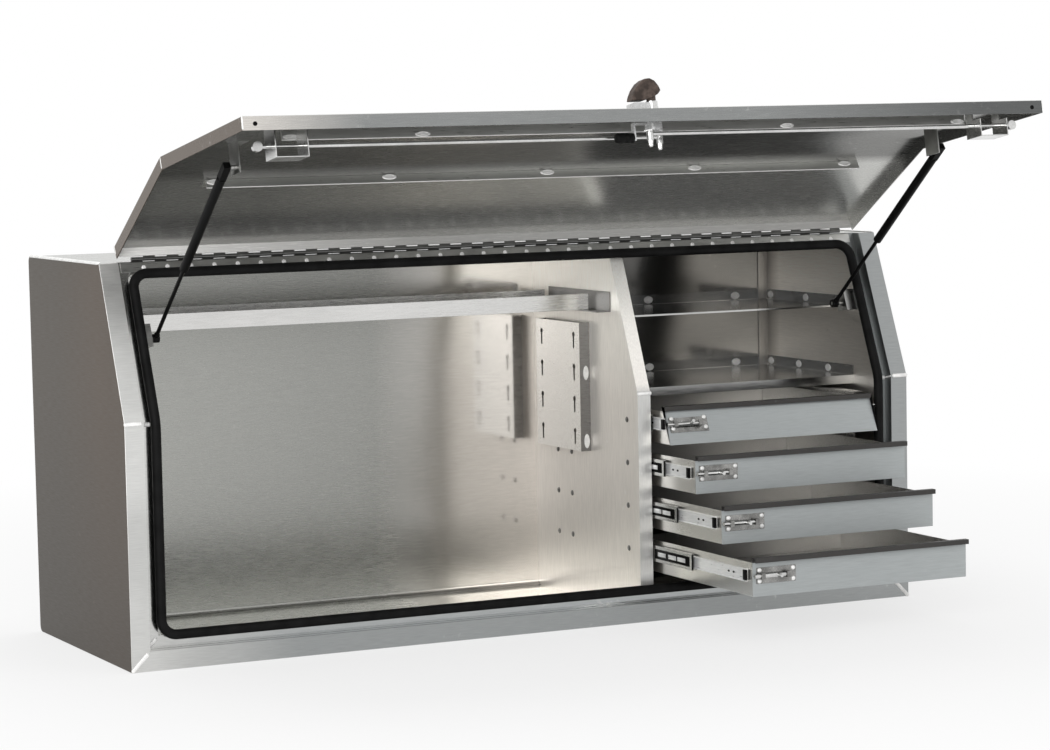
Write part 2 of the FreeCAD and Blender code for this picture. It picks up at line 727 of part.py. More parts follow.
def make_lock_body():
    """Plate and block under the handle, the barrel behind the lid skin and the knob on its arm."""
    z = s.lock_height
    face = front + lid_skin - s.escutcheon_gauge
    wide = s.escutcheon_width / 2
    tall = s.escutcheon_height / 2
    plate = box("lock_plate", (-wide, wide), (face, front + lid_skin), (z - tall, z + tall))
    base_end = -s.handle_neck - s.wall
    base = box("lock_base_block", (base_end - s.lock_base, base_end), (face - s.lock_base_height, face),
               (z - s.lock_base / 2, z + s.lock_base / 2))
    barrel = round_bar("lock_barrel", "y", (0, face, z), s.barrel_radius,
                       s.escutcheon_gauge + s.wall + s.barrel_length)
    arm_level = lid_back + s.barrel_length / 2
    arm_z = (z - s.knob_arm / 2, z + s.knob_arm / 2)
    arm = box("knob_arm", (-s.knob_start, -s.barrel_radius * 0.7), (arm_level, arm_level + s.knob_arm_gauge),
              arm_z)
    lug = box("knob_lug", (-s.knob_start, s.knob_arm_gauge - s.knob_start),
              (arm_level, lid_back + s.knob_depth + s.knob_arm / 2), arm_z)
    knob = round_bar("inside_knob", "x", (-s.knob_start - s.knob_grip, lid_back + s.knob_depth, z),
                     s.inside_knob_radius, s.knob_grip)
    hole = round_bar("lock_bore", "y", (0, face - s.escutcheon_gauge, z),
                     s.spindle_radius + s.running_gap, s.barrel_length * 2)
    solid = joined("lock_body_solid", [plate, base, barrel, arm, lug, knob])
    on_lid(node(cut("lock_body", solid, [hole]), "lock_body"))


def make_lock_handle():
    """Handle: a neck and a rounded paddle set to one side of it."""
    z = s.lock_height
    foot = front + lid_skin - s.escutcheon_gauge - s.clear_gap
    neck_length = s.handle_reach * 0.6
    neck = round_bar("handle_neck", "y", (0, foot - neck_length, z), s.handle_neck, neck_length)
    shares = [
        (-0.74, 0.32), (-0.70, 0.46), (-0.60, 0.66), (-0.44, 0.86), (-0.26, 0.98), (-0.08, 1.0),
        (0.08, 0.92), (0.20, 0.76), (0.26, 0.62), (0.16, 0.50), (-0.04, 0.40), (-0.30, 0.32),
    ]
    outline = [(s.handle_span * across, foot - s.handle_reach * out) for across, out in shares]
    paddle = prism("handle_paddle", "XY_Plane", z - s.handle_gauge / 2, s.handle_gauge, outline)
    on_lid(node(joined("lock_handle", [neck, paddle]), "lock_handle"))


def make_lock_cam():
    """Spindle through the barrel and the cam plate that drives both rods."""
    z = s.lock_height
    barrel_end = lid_back + s.barrel_length
    near = barrel_end + s.clear_gap
    spindle_foot = front + lid_skin - s.escutcheon_gauge - s.clear_gap
    spindle = round_bar("lock_spindle", "y", (0, spindle_foot, z), s.spindle_radius,
                        near + s.cam_gauge - spindle_foot)
    arm = s.cam_arm
    w = s.cam_width / 2
    outline = [(arm + w, z + arm), (arm, z + arm + w), (-arm - w, z - arm), (-arm, z - arm - w)]
    plate = along_y("cam_plate", (near, near + s.cam_gauge), outline)
    on_lid(node(joined("lock_cam", [spindle, plate]), "lock_cam"))


def make_lock_rod(side_name, side):
    """Rod from the cam to the lid's end, with a roller that runs behind the frame."""
    name = f"{side_name}_lock_rod"
    z = s.lock_height - side * s.cam_arm
    pivot = -side * s.cam_arm
    reach = side * rod_reach
    low, high = (pivot, reach) if side > 0 else (reach, pivot)
    bar = round_bar(name + "_bar", "x", (low, rod_y, z), s.rod_radius, high - low)
    nut = round_bar(name + "_nut", "y", (pivot, rod_y - s.rod_radius * 0.9, z),
                    s.rod_radius * 1.8, s.rod_radius * 4.2)
    roller = round_bar(name + "_roller", "z", (reach, rod_y, z - s.roller_width / 2),
                       s.roller_radius, s.roller_width)
    on_lid(node(joined(name, [bar, nut, roller]), name))


def make_rod_guides():
    """A folded strap for each rod, its legs bored for the rod and notched round the seal."""
    seal_top = s.face_width + s.ledge_width + s.wall + s.seal_diameter / 2 + s.clear_gap
    lip_back = front + gutter_back + s.clear_gap
    straps = []
    for side_name, side in SIDES:
        z = s.lock_height - side * s.cam_arm
        name = f"{side_name}_guide"
        x = mirrored(side, guide_along - s.guide_width / 2, guide_along + s.guide_width / 2)
        y = (lid_back, lid_back + s.guide_depth)
        tall = (z - s.guide_height / 2, z + s.guide_height / 2)
        outer = box(name + "_outer", x, y, tall)
        inner = box(name + "_inner", (x[0] + s.rib_gauge, x[1] - s.rib_gauge),
                    (y[0] - s.wall, y[1] - s.rib_gauge), (tall[0] - s.wall, tall[1] + s.wall))
        hole = round_bar(name + "_hole", "x", (x[0] - s.wall, rod_y, z), s.rod_radius + s.clear_gap,
                         s.guide_width + s.wall * 2)
        tools = [inner, hole]
        if tall[0].value < seal_top.value:
            tools.append(box(name + "_notch", (x[0] - s.wall, x[1] + s.wall), (y[0] - s.wall, lip_back),
                             (tall[0] - s.wall, seal_top)))
        straps.append(cut(name, outer, tools))
    on_lid(node(group("rod_guides", straps), "rod_guides"))


# Gas struts

foot_y, foot_z = slant(s.strut_foot_down, s.strut_foot_in)
shut_head_y = front + s.strut_head_in
head_y, head_z = swung(shut_head_y, s.strut_head_height)
strut_span = root((head_y - foot_y) * (head_y - foot_y) + (head_z - foot_z) * (head_z - foot_z))
strut_angle = heading(head_z - foot_z, -(head_y - foot_y))


def along_strut(thing, x):
    """Lays a piece drawn up +Z from the lower stud along the strut."""
    return turned(thing, strut_angle, (x, foot_y, foot_z))


def make_strut(side_name, side):
    """Gas strut: rod on the body stud, tube on the lid stud."""
    x = side * strut_along
    wide = s.strut_end / 2
    zero = as_size(0)
    name = f"{side_name}_strut"
    eye = round_bar(name + "_eye", "x", (-wide, zero, zero), wide * 1.25, s.strut_end)
    shank = round_bar(name + "_shank", "z", (zero, zero, zero), wide * 0.85, s.strut_end)
    rod = round_bar(name + "_rod_bar", "z", (zero, zero, zero), s.strut_rod_radius, s.strut_rod_length)
    hole = round_bar(name + "_eye_hole", "x", (-wide * 2, zero, zero), s.stud_radius + s.running_gap,
                     s.strut_end * 2)
    whole = joined(name + "_rod_solid", [eye, shank, rod])
    along_strut(node(cut(name + "_rod", whole, [hole]), name + "_rod"), x)

    end_foot = strut_span + wide - s.strut_end_length
    tube_foot = end_foot - s.tube_length
    tube = round_bar(name + "_tube_wall", "z", (zero, zero, tube_foot), s.tube_radius, s.tube_length + s.wall)
    end = box(name + "_end", (-wide, wide), (-wide, wide), (end_foot, strut_span + wide))
    inside = round_bar(name + "_tube_bore", "z", (zero, zero, tube_foot - s.wall),
                       s.strut_rod_radius + s.running_gap, strut_span - tube_foot - s.wall * 4)
    solid = joined(name + "_tube_solid", [tube, end])
    along_strut(node(cut(name + "_tube", solid, [inside]), name + "_tube"), x)


def make_strut_brackets():
    """Angle brackets with ball studs: a pair on the posts and a pair on the lid."""
    feet = []
    heads = []
    size = s.bracket_size / 2
    stud_end = strut_along - s.strut_end / 2
    for side_name, side in SIDES:
        name = f"{side_name}_foot"
        plate_in = strut_along + s.strut_end / 2 + s.bracket_gauge * 3
        down = s.strut_foot_down
        deep = s.strut_foot_in + size * 0.6
        outline = [slant(down - size, gutter_back), slant(down + size, gutter_back),
                   slant(down + size * 0.6, deep), slant(down - size * 0.6, deep)]
        plate = along_x(name + "_plate", mirrored(side, plate_in, plate_in + s.bracket_gauge), outline)
        leg_back = gutter_back + s.bracket_gauge
        base = [slant(down - size, gutter_back), slant(down + size, gutter_back),
                slant(down + size, leg_back), slant(down - size, leg_back)]
        leg = along_x(name + "_leg", mirrored(side, plate_in, gutter_half), base)
        x = mirrored(side, stud_end + s.stud_gap, plate_in + s.bracket_gauge)
        stud = round_bar(name + "_stud", "x", (x[0], foot_y, foot_z), s.stud_radius, x[1] - x[0])
        feet.append(joined(name + "_bracket", [plate, leg, stud]))

        name = f"{side_name}_head"
        plate_out = stud_end - s.stud_gap - s.bracket_gauge * 4
        z = s.strut_head_height
        y = (lid_back, shut_head_y + size * 0.55)
        tall = (z - size, z + size)
        plate = box(name + "_plate", mirrored(side, plate_out - s.bracket_gauge, plate_out), y, tall)
        leg = box(name + "_leg", mirrored(side, plate_out - size, plate_out),
                  (lid_back, lid_back + s.bracket_gauge), tall)
        x = mirrored(side, plate_out - s.bracket_gauge, stud_end - s.stud_gap)
        stud = round_bar(name + "_stud", "x", (x[0], shut_head_y, z), s.stud_radius, x[1] - x[0])
        heads.append(joined(name + "_bracket", [plate, leg, stud]))
    node(group("strut_body_brackets", feet), "strut_body_brackets")
    on_lid(node(group("strut_lid_brackets", heads), "strut_lid_brackets"))


# Inside of the box

divider_left = divider_right - s.wall
drawer_names = ("one", "two", "three", "four")
drawer_left = divider_right + s.slide_gap
drawer_right = drawer_left + s.drawer_width
cabinet_right = drawer_right + s.slide_gap


def slide_height(index):
    """Slide centre of a drawer, counted from the top one."""
    return s.lowest_slide + s.drawer_pitch * (len(drawer_names) - 1 - index)


def lean_of(index):
    """How far back a drawer front leans over its height."""
    return s.top_lean if index == 0 else as_size(0)


def bolt_place(index):
    """The bolt's centre in front of a shut drawer, square off its face."""
    lean = lean_of(index) / (s.front_below + s.front_above)
    stand_off = (s.latch_gauge + s.bolt_seat) * root(lean * lean + 1)
    return drawer_front + lean * s.front_below - stand_off, slide_height(index)


def make_divider():
    """Divider sheet with a folded front edge, bored for the drawer bolts."""
    inset = s.divider_inset
    top = at_level(inner_top)
    outline = [
        (front + inset, s.wall), knee(inset), top(inset), (inner_back, inner_top), (inner_back, s.wall),
    ]
    plate = along_x("divider_plate", (divider_left, divider_right), outline)
    round_back_edges(plate, "divider_bends", s.bend_radius, [(inner_back, s.wall), (inner_back, inner_top)])
    pieces = [plate]
    pieces.append(along_x("divider_flange", (divider_left - s.divider_flange, divider_right),
                          front_strip(inset, inset + s.wall, s.wall, top)))
    pieces.append(along_x("divider_return",
                          (divider_left - s.divider_flange, divider_left - s.divider_flange + s.wall),
                          front_strip(inset, inset + s.divider_return, s.wall, top)))
    keepers = []
    for index, name in enumerate(drawer_names):
        y, z = bolt_place(index)
        keepers.append(round_bar(f"keeper_{name}", "x", (divider_left - s.wall, y, z),
                                 s.bolt_radius + s.clear_gap * 2, s.wall * 3))
    node(cut("divider", joined("divider_folded", pieces), keepers), "divider")


def make_keyhole_channel():
    """Folded channel on the divider with two columns of keyholes for hanging fittings."""
    gauge = s.channel_gauge
    x = (divider_left - s.channel_depth, divider_left)
    tall = (s.channel_foot, s.channel_top)
    outer = box("channel_outer", x, (channel_front, channel_back), tall)
    hollow = box("channel_hollow", (x[0] + gauge, x[1] + gauge),
                 (channel_front + gauge, channel_back - gauge), (tall[0] - gauge, tall[1] + gauge))
    tools = [hollow]
    rows = 4
    for column, share in (("front", 0.13), ("back", 0.87)):
        y = channel_front + (channel_back - channel_front) * share
        for row in range(rows):
            z = s.channel_foot + (s.channel_top - s.channel_foot) * ((row + 0.62) / rows)
            name = f"keyhole_{column}_{row}"
            head = round_bar(name + "_head", "x", (x[0] - gauge, y, z), s.keyhole_head, gauge * 3)
            slot = box(name + "_slot", (x[0] - gauge, x[0] + gauge * 2),
                       (y - s.keyhole_slot, y + s.keyhole_slot), (z - s.keyhole_drop, z))
            tools.append(joined(name, [head, slot]))
    node(cut("keyhole_channel", outer, tools), "keyhole_channel")


def make_tool_shelf():
    """Long shelf of the big bay with upturned front and back, on two angle hangers."""
    left = -inner_half + s.wall
    right = divider_left - s.divider_return
    gauge = s.shelf_gauge
    top = s.shelf_floor + s.shelf_lip
    y0, y1 = shelf_front, shelf_back
    hem = gauge * 4
    outline = [
        (y0, s.shelf_floor), (y1, s.shelf_floor), (y1, top), (y1 - gauge, top),
        (y1 - gauge, s.shelf_floor + gauge), (y0 + gauge, s.shelf_floor + gauge),
        (y0 + gauge, top - gauge), (y0 + hem, top - gauge), (y0 + hem, top), (y0, top),
    ]
    node(along_x("tool_shelf", (left, right), outline), "tool_shelf")
    hangers = []
    drop = s.shelf_floor
    for name, wall_x, inward in (("left", -inner_half, 1), ("right", divider_left, -1)):
        foot = [(wall_x, drop - gauge), (wall_x + inward * s.hanger_foot, drop - gauge),
                (wall_x + inward * s.hanger_foot, drop), (wall_x + inward * gauge, drop),
                (wall_x + inward * gauge, drop + s.hanger_height), (wall_x, drop + s.hanger_height)]
        hangers.append(along_y(f"{name}_hanger", (shelf_back - s.hanger_length, shelf_back), foot))
    node(group("shelf_hangers", hangers), "shelf_hangers")


def tray_shelf(name, x, y_front, floor, flange, lip):
    """A level shelf with upturned back and right edges and a turned front edge."""
    gauge = s.shelf_gauge
    upturn = (floor, floor + flange)
    pieces = [
        box(name + "_plate", x, (y_front, inner_back), (floor, floor + gauge)),
        box(name + "_back", (x[0], x[1] - s.end_flange), (inner_back - gauge, inner_back), upturn),
        box(name + "_right", (x[1] - gauge, x[1]), (y_front, inner_back - s.wall), upturn),
        box(name + "_front", x, (y_front, y_front + gauge), lip),
    ]
    return pieces


def make_short_shelves():
    """The short shelf and, under it, the deck over the drawers."""
    x = (divider_right, inner_half)
    for name, floor, y_front, drop in (
            ("upper_shelf", s.upper_shelf_floor, upper_shelf_front, s.shelf_hem),
            ("drawer_deck", s.deck_floor, deck_front, s.deck_lip)):
        lip = (floor + s.shelf_gauge - drop, floor + s.shelf_gauge)
        pieces = tray_shelf(name, x, y_front, floor, s.short_flange, lip)
        corner = box(name + "_corner", (inner_half - s.end_flange, inner_half),
                     (inner_back - s.wall, inner_back), (floor - s.wall, floor + s.short_flange + s.wall))
        node(cut(name, joined(name + "_folded", pieces), [corner]), name)


def make_drawer_side_panel():
    """Upright panel that carries the right-hand slides, with a foot and a top flange."""
    top = slide_height(0) + s.panel_above
    y = (slide_start, inner_back - s.bend_radius)
    wide = (cabinet_right, cabinet_right + s.end_flange)
    panel = box("side_panel_plate", (cabinet_right, cabinet_right + s.wall), y, (s.wall, top))
    foot = box("side_panel_foot", wide, y, (s.wall, s.wall * 2))
    head = box("side_panel_head", wide, y, (top - s.wall, top))
    node(joined("drawer_side_panel", [panel, foot, head]), "drawer_side_panel")


def slide_section(side, start_gap, end_gap, height, centre):
    """C section of a slide member, its web at one end of a share of the slide gap."""
    wall_x = divider_right if side < 0 else cabinet_right
    inward = 1 if side < 0 else -1
    web = wall_x + inward * start_gap
    lip = wall_x + inward * end_gap
    web_far = web + s.slide_gauge * (1 if web.value < lip.value else -1)
    high, low = centre + height / 2, centre - height / 2
    return [(web, low), (lip, low), (lip, low + s.slide_gauge), (web_far, low + s.slide_gauge),
            (web_far, high - s.slide_gauge), (lip, high - s.slide_gauge), (lip, high), (web, high)]


def slide_pair(name, gaps, height, index, drawn):
    """The left and right members of one stage of a drawer's slides."""
    y = (slide_start - drawn, slide_start + slide_length - drawn)
    return [along_y(f"{name}_{tag}", y, slide_section(side, *gaps, height, slide_height(index)))
            for tag, side in SIDES]


def make_cabinet_slides():
    members = []
    for index, name in enumerate(drawer_names):
        gaps = (as_size(0), s.slide_gap * 0.5)
        members += slide_pair(f"cabinet_slide_{name}", gaps, s.outer_height, index, as_size(0))
    node(group("cabinet_slides", members), "cabinet_slides")


# Drawers

def make_tray(label, index, drawn):
    """Open tray; the top one's front end is cut to its leaning front."""
    centre = slide_height(index)
    gauge = s.drawer_gauge
    low, high = centre - s.tray_below, centre + s.tray_above
    lean = lean_of(index) / (s.front_below + s.front_above)
    start = drawer_front + gauge - drawn
    end = start + drawer_length

    def front_at(z):
        return start + lean * (z - (centre - s.front_below)) + (gauge * lean)

    outer = along_x(label + "_outer", (drawer_left, drawer_right),
                    [(front_at(low), low), (end, low), (end, high), (front_at(high), high)])
    floor = low + gauge
    top = high + gauge
    inner = along_x(label + "_inner", (drawer_left + gauge, drawer_right - gauge),
                    [(front_at(floor) + gauge, floor), (end - gauge, floor), (end - gauge, top),
                     (front_at(top) + gauge, top)])
    node(cut(label, outer, [inner]), label)


def make_front(label, index, drawn):
    """Drawer front with its top edge turned out and down as a finger lip."""
    centre = slide_height(index)
    gauge = s.drawer_gauge
    low, high = centre - s.front_below, centre + s.front_above
    foot = drawer_front - drawn
    top = foot + lean_of(index)
    under_lip = top - lean_of(index) * gauge / (high - low)
    hook = top - s.drawer_lip
    outline = [
        (foot, low), (foot + gauge, low), (top + gauge, high), (hook, high), (hook, high - s.drawer_hook),
        (hook + gauge, high - s.drawer_hook), (hook + gauge, high - gauge), (under_lip, high - gauge),
    ]
    node(along_x(label, (drawer_left, drawer_right), outline), label)


def make_latch(name, index, drawn):
    """Barrel bolt: a plate with two loops on the drawer front, and the bolt with its knob."""
    y, z = bolt_place(index)
    tilt = heading(s.front_below + s.front_above, -lean_of(index))
    zero = as_size(0)
    seat = s.bolt_seat
    tall = s.latch_height / 2
    loop = s.bolt_radius + s.latch_gauge + s.running_gap
    x0 = drawer_left + s.latch_inset
    x1 = x0 + s.latch_length
    plate = box(f"latch_{name}_sheet", (x0, x1), (seat, seat + s.latch_gauge), (-tall, tall))
    loops = []
    for tag, at in (("a", x0 + s.guide_loop * 0.6), ("b", x1 - s.guide_loop * 3)):
        loops.append(box(f"latch_{name}_loop_{tag}", (at, at + s.guide_loop), (-loop, seat), (-loop, loop)))
    hole = round_bar(f"latch_{name}_hole", "x", (x0 - s.guide_loop, zero, zero),
                     s.bolt_radius + s.running_gap, s.latch_length + s.guide_loop * 2)
    rivets = []
    for tag, x, dz in (("a", x0, 1), ("b", x0, -1), ("c", x1, 1), ("d", x1, -1)):
        at = x + s.rivet_radius * (1.6 if x is x0 else -1.6)
        rivets.append(round_bar(f"latch_{name}_rivet_{tag}", "y",
                                (at, seat - s.rivet_height * 0.6, dz * (tall - s.rivet_radius * 1.3)),
                                s.rivet_radius * 0.8, s.rivet_height * 0.6))
    solid = joined(f"latch_{name}_solid", [plate] + loops + rivets)
    bar = round_bar(f"bolt_{name}_bar", "x", (drawer_left, zero, zero), s.bolt_radius, s.bolt_length)
    knob_x = drawer_left + s.bolt_length - s.guide_loop * 2
    knob = round_bar(f"bolt_{name}_knob", "y", (knob_x, -s.bolt_radius - s.knob_length, zero),
                     s.knob_radius, s.bolt_radius + s.knob_length)
    plate_node = node(cut(f"drawer_{name}_latch", solid, [hole]), f"drawer_{name}_latch")
    bolt_node = node(joined(f"drawer_{name}_bolt", [bar, knob]), f"drawer_{name}_bolt")
    for piece in (plate_node, bolt_node):
        turned(piece, tilt, (0, y - drawn, z))


def make_drawer(name, index):
    drawn = getattr(s, f"drawn_{name}")
    make_tray(f"drawer_{name}_tray", index, drawn)
    make_front(f"drawer_{name}_front", index, drawn)
    make_latch(name, index, drawn)
    inner = slide_pair(f"inner_slide_{name}", (s.slide_gap, s.slide_gap * 0.5), s.inner_height, index, drawn)
    node(group(f"drawer_{name}_inner_slides", inner), f"drawer_{name}_inner_slides")
    gaps = (s.slide_gap * 0.28, s.slide_gap * 0.72)
    middle = slide_pair(f"middle_slide_{name}", gaps, s.middle_height, index, drawn / 2)
    node(group(f"drawer_{name}_middle_slides", middle), f"drawer_{name}_middle_slides")


def make_rivets():
    """Rivet heads of the hinge and of both short shelves."""
    heads = hinge_rivets()
    back_face = inner_back - s.shelf_gauge
    side_face = inner_half - s.shelf_gauge
    for name, floor, y_front, shares in (
            ("upper", s.upper_shelf_floor, upper_shelf_front, (0.45, 0.94)),
            ("deck", s.deck_floor, deck_front, (0.28, 0.62, 0.95))):
        z = floor + s.short_flange / 2
        for i, share in enumerate((0.13, 0.57, 1.02)):
            at = (divider_right + s.drawer_width * share, back_face, z)
            heads.append(rivet(f"{name}_back_rivet_{i}", at, (0, -1, 0)))
        for i, share in enumerate(shares):
            at = (side_face, y_front + (inner_back - y_front) * share, z)
            heads.append(rivet(f"{name}_side_rivet_{i}", at, (-1, 0, 0)))
    node(group("rivets", heads), "rivets")


def make_slide_screws():
    """Screw heads on the divider's far face that hold the left-hand slides."""
    heads = []
    for index, name in enumerate(drawer_names):
        for i, share in enumerate((0.1, 0.66, 0.8)):
            y = slide_start + slide_length * share
            # the keyhole channel covers the two back screws of the top slide
            hidden = index == 0 and i > 0
            if not hidden:
                heads.append(round_bar(f"slide_screw_{name}_{i}", "x",
                                       (divider_left - s.screw_height, y, slide_height(index)),
                                       s.screw_radius, s.screw_height))
    node(group("slide_screws", heads), "slide_screws")


make_wrapper()
for side_name, side in SIDES:
    make_end_panel(side_name, side)
    make_post(side_name, side)
make_sill()
make_header()
make_seal()
make_hinge()
make_lid_pan()
make_lid_ribs()
make_lock_body()
make_lock_handle()
make_lock_cam()
for side_name, side in SIDES:
    make_lock_rod(side_name, side)
    make_strut(side_name, side)
make_rod_guides()
make_strut_brackets()
make_divider()
make_keyhole_channel()
make_tool_shelf()
make_short_shelves()
make_drawer_side_panel()
make_cabinet_slides()
make_rivets()
make_slide_screws()
for index, name in enumerate(drawer_names):
    make_drawer(name, index)

# Check everything, then write one file for each piece

doc.recompute()
broken = [o.Name for o in doc.Objects if "Invalid" in o.State or "Error" in o.State]
broken += [n.Label for n in nodes if n.Shape.isNull() or not n.Shape.isValid() or not n.Shape.Solids]
if broken:
    raise RuntimeError("these pieces failed: " + ", ".join(broken))
os.makedirs("parts", exist_ok=True)
for piece in nodes:
    piece.Shape.exportStep(f"parts/{piece.Label}.step")
whole = Part.makeCompound([n.Shape for n in nodes]).BoundBox
print(len(nodes), "nodes", [round(v, 1) for v in (whole.XMin, whole.YMin, whole.ZMin,
                                                  whole.XMax, whole.YMax, whole.ZMax)])
print("hinge axis y, z:", round(hinge_y.value, 3), round(hinge_z.value, 3))
print("strut foot and head:", [round(v.value, 3) for v in (foot_y, foot_z, head_y, head_z, strut_span)])
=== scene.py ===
import json
import math

import bpy
from bpy.props import FloatProperty, FloatVectorProperty, IntProperty, PointerProperty
from mathutils import Matrix, Vector


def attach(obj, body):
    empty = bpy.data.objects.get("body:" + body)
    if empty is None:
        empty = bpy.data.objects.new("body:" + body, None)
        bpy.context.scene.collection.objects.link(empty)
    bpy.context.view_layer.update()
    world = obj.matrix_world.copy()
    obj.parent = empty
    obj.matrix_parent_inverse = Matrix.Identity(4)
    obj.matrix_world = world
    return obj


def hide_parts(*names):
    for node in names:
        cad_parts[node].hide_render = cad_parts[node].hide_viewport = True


bl_info = {
    "name": "Truck Toolbox",
    "version": (1, 0, 0),
    "blender": (4, 5, 0),
    "location": "View3D > Sidebar > Toolbox",
    "description": "Dresses a sloped-front aluminium truck toolbox with its finishes, welds and fittings",
    "category": "Object",
}

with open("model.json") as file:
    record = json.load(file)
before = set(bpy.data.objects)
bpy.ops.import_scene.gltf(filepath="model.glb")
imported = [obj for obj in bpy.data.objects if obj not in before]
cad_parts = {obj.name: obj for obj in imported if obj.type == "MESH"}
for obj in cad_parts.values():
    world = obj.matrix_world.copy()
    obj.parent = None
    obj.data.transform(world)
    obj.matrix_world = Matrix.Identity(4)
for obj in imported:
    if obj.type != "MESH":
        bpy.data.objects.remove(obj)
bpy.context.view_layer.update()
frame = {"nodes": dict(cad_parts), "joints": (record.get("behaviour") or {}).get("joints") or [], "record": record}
nodes = frame["nodes"]
record = frame["record"]
joints = {j["name"]: j for j in frame["joints"]}
body_of = {n: b for b, members in record["behaviour"]["bodies"].items() for n in members}
slot_of = {p["node"]: p["material_slot"] for p in record["subparts"]}
DRAWERS = ("one", "two", "three", "four")
SIDES = (("left", -1), ("right", 1))

# Places on the box, in metres

HALF = 0.9
FRONT = -0.3
BACK = 0.3
HEIGHT = 0.8
KNEE = 0.49
SLOPE_RUN = 0.128
RISE = HEIGHT - KNEE
SLOPE = math.hypot(SLOPE_RUN, RISE)
WALL = 0.0025
FACE = 0.04
GUTTER = 0.024
LEDGE = 0.026
DIVIDER = 0.2855
DIVIDER_FLANGE = 0.028
FLANGE_INSET = 0.044
DECK_EDGE = 0.4765
BETWEEN_SHELVES = 0.55
SHELF_EDGE = 0.6325
CHANNEL_WELD_X = DIVIDER - WALL - 0.010
CHANNEL_WELD_Y = 0.02
CHANNEL_WELDS = (0.356, 0.507)

# The lid and its lock

LID_GAP = 0.0025
LID_SKIN = -0.005
LID_INSIDE = LID_SKIN + WALL
LID_EDGE = 0.021
LID_HALF = HALF - FACE - LID_GAP
LID_FOOT = FACE + LID_GAP
LID_HEM = 0.0072
UPPER_RIB = 0.25
UPPER_RIB_LEG = 0.0175
UPPER_TACKS = (-0.724, -0.353, -0.002, 0.342, 0.707)
UPPER_TACK_DEPTH = LID_INSIDE + 0.006
LOWER_RIB = 0.151
LOWER_RIB_LEG = 0.0245
LOWER_TACKS = (-0.724, -0.46, 0.325, 0.724)
LOWER_TACK_DEPTH = LID_INSIDE + 0.0195
LOCK_Z = 0.1
KNOB_X = -0.0465
KNOB_Y = FRONT + LID_INSIDE + 0.045
CAM_ARM = 0.021
ROD_Y = FRONT + LID_INSIDE + 0.041
NUT_Y = ROD_Y + 0.0125
COLLAR_Y = FRONT + LID_SKIN - 0.003
DRAIN_X = 0.833
DRAIN_Y = FRONT + 0.009
HINGE = Vector(joints["lid_hinge"]["pos_m"])
LID_SWING = -math.radians(joints["lid_hinge"]["range_deg"][0])
LID_UP = Matrix.Rotation(-LID_SWING, 4, "X")
TO_LID = Matrix.Translation(HINGE) @ LID_UP @ Matrix.Translation(-HINGE)

# The drawers and their slides

SLIDE_GAP = 0.013
PITCH = 0.093
# Share of each drawer front's pitch above which its top is painted dark, as shade and dark reflection by the
# finger lip
LIP_SHADE_SHARE = (0.745, 0.755)
LOWEST = 0.138
LEVELS = {name: LOWEST + PITCH * (len(DRAWERS) - 1 - index) for index, name in enumerate(DRAWERS)}
DRAWN = dict(zip(DRAWERS, (0.098, 0.206, 0.314, 0.438)))
DRAWER_WIDTH = 0.514
SLIDE_START = -0.2
MIDDLE_WEB = SLIDE_GAP * 0.28
CAGE_WEB = (MIDDLE_WEB - 0.0011, MIDDLE_WEB - 0.0002)
CAGE_LENGTH = 0.034
CAGE_STARTS = (0.026, 0.066, 0.112)
SLOT_FACE = SLIDE_GAP - 0.0015
SLOT_PLACES = (0.055, 0.075, 0.235, 0.262)
DRAWER_FRONT = FRONT + 0.08
FRONT_BELOW = 0.043
FRONT_TALL = 0.08
TOP_LEAN = 0.036
LATCH_INSET = 0.008
LATCH_LENGTH = 0.092
LATCH_HEIGHT = 0.033
LATCH_GAUGE = 0.0015
LATCH_SCREW_X = 0.0067
LATCH_SCREW_Z = 0.0055

# Blocks on a slide: distances from the wall, run along the slide, half the height, rounding

BUMPERS = [((0.0041, 0.0064), (-0.003, 0.018), 0.0165, 0.0008)]
STOPS = [((0.0072, 0.0112), (-0.002, 0.011), 0.0105, 0.0008)]
TRACKS = [((MIDDLE_WEB - 0.0004, MIDDLE_WEB), (0.008, 0.16), 0.0105, 0.0001)]
CAGES = [(CAGE_WEB, (start, start + CAGE_LENGTH), 0.0045, 0.0002) for start in CAGE_STARTS]

# Turned heads: the rim's height, then the rise and scale of each further ring

RIVET = [(0.0006, 1), (0.0006, 0.86), (0.0004, 0.7), (0.0001, 0.7), (-0.0008, 0.8)]
SCREW = [(0.0008, 1), (0.0009, 0.8), (0.0004, 0.55), (-0.0008, 0.75)]
DOME = [(0.0010, 1), (0.0010, 0.9), (0.0008, 0.75), (0.0005, 0.5)]
GRIP = [(0.003, 1), (0.0006, 0.93), (0.005, 1), (0.0006, 1.075), (0.006, 1), (0.0006, 0.93), (0.005, 1),
        (0.0006, 1.075), (0.0125, 1), (0.002, 0.92), (0.001, 0.8)]
NUT = [(0.006, 1), (0.0004, 0.82), (0.003, 0.98), (0.002, 0.86), (0.0014, 0.7), (0.0006, 0.4)]
COLLAR = [(0.008, 1), (0.0006, 0.94), (0.010, 1), (0.0008, 0.9), (0.001, 0.8)]
RING = [(0.0007, 1), (0.0004, 0.8), (0.0001, 0.75), (-0.0009, 0.9)]
HEAD_SUNK = 0.001
NEAR_WALL = 0.01
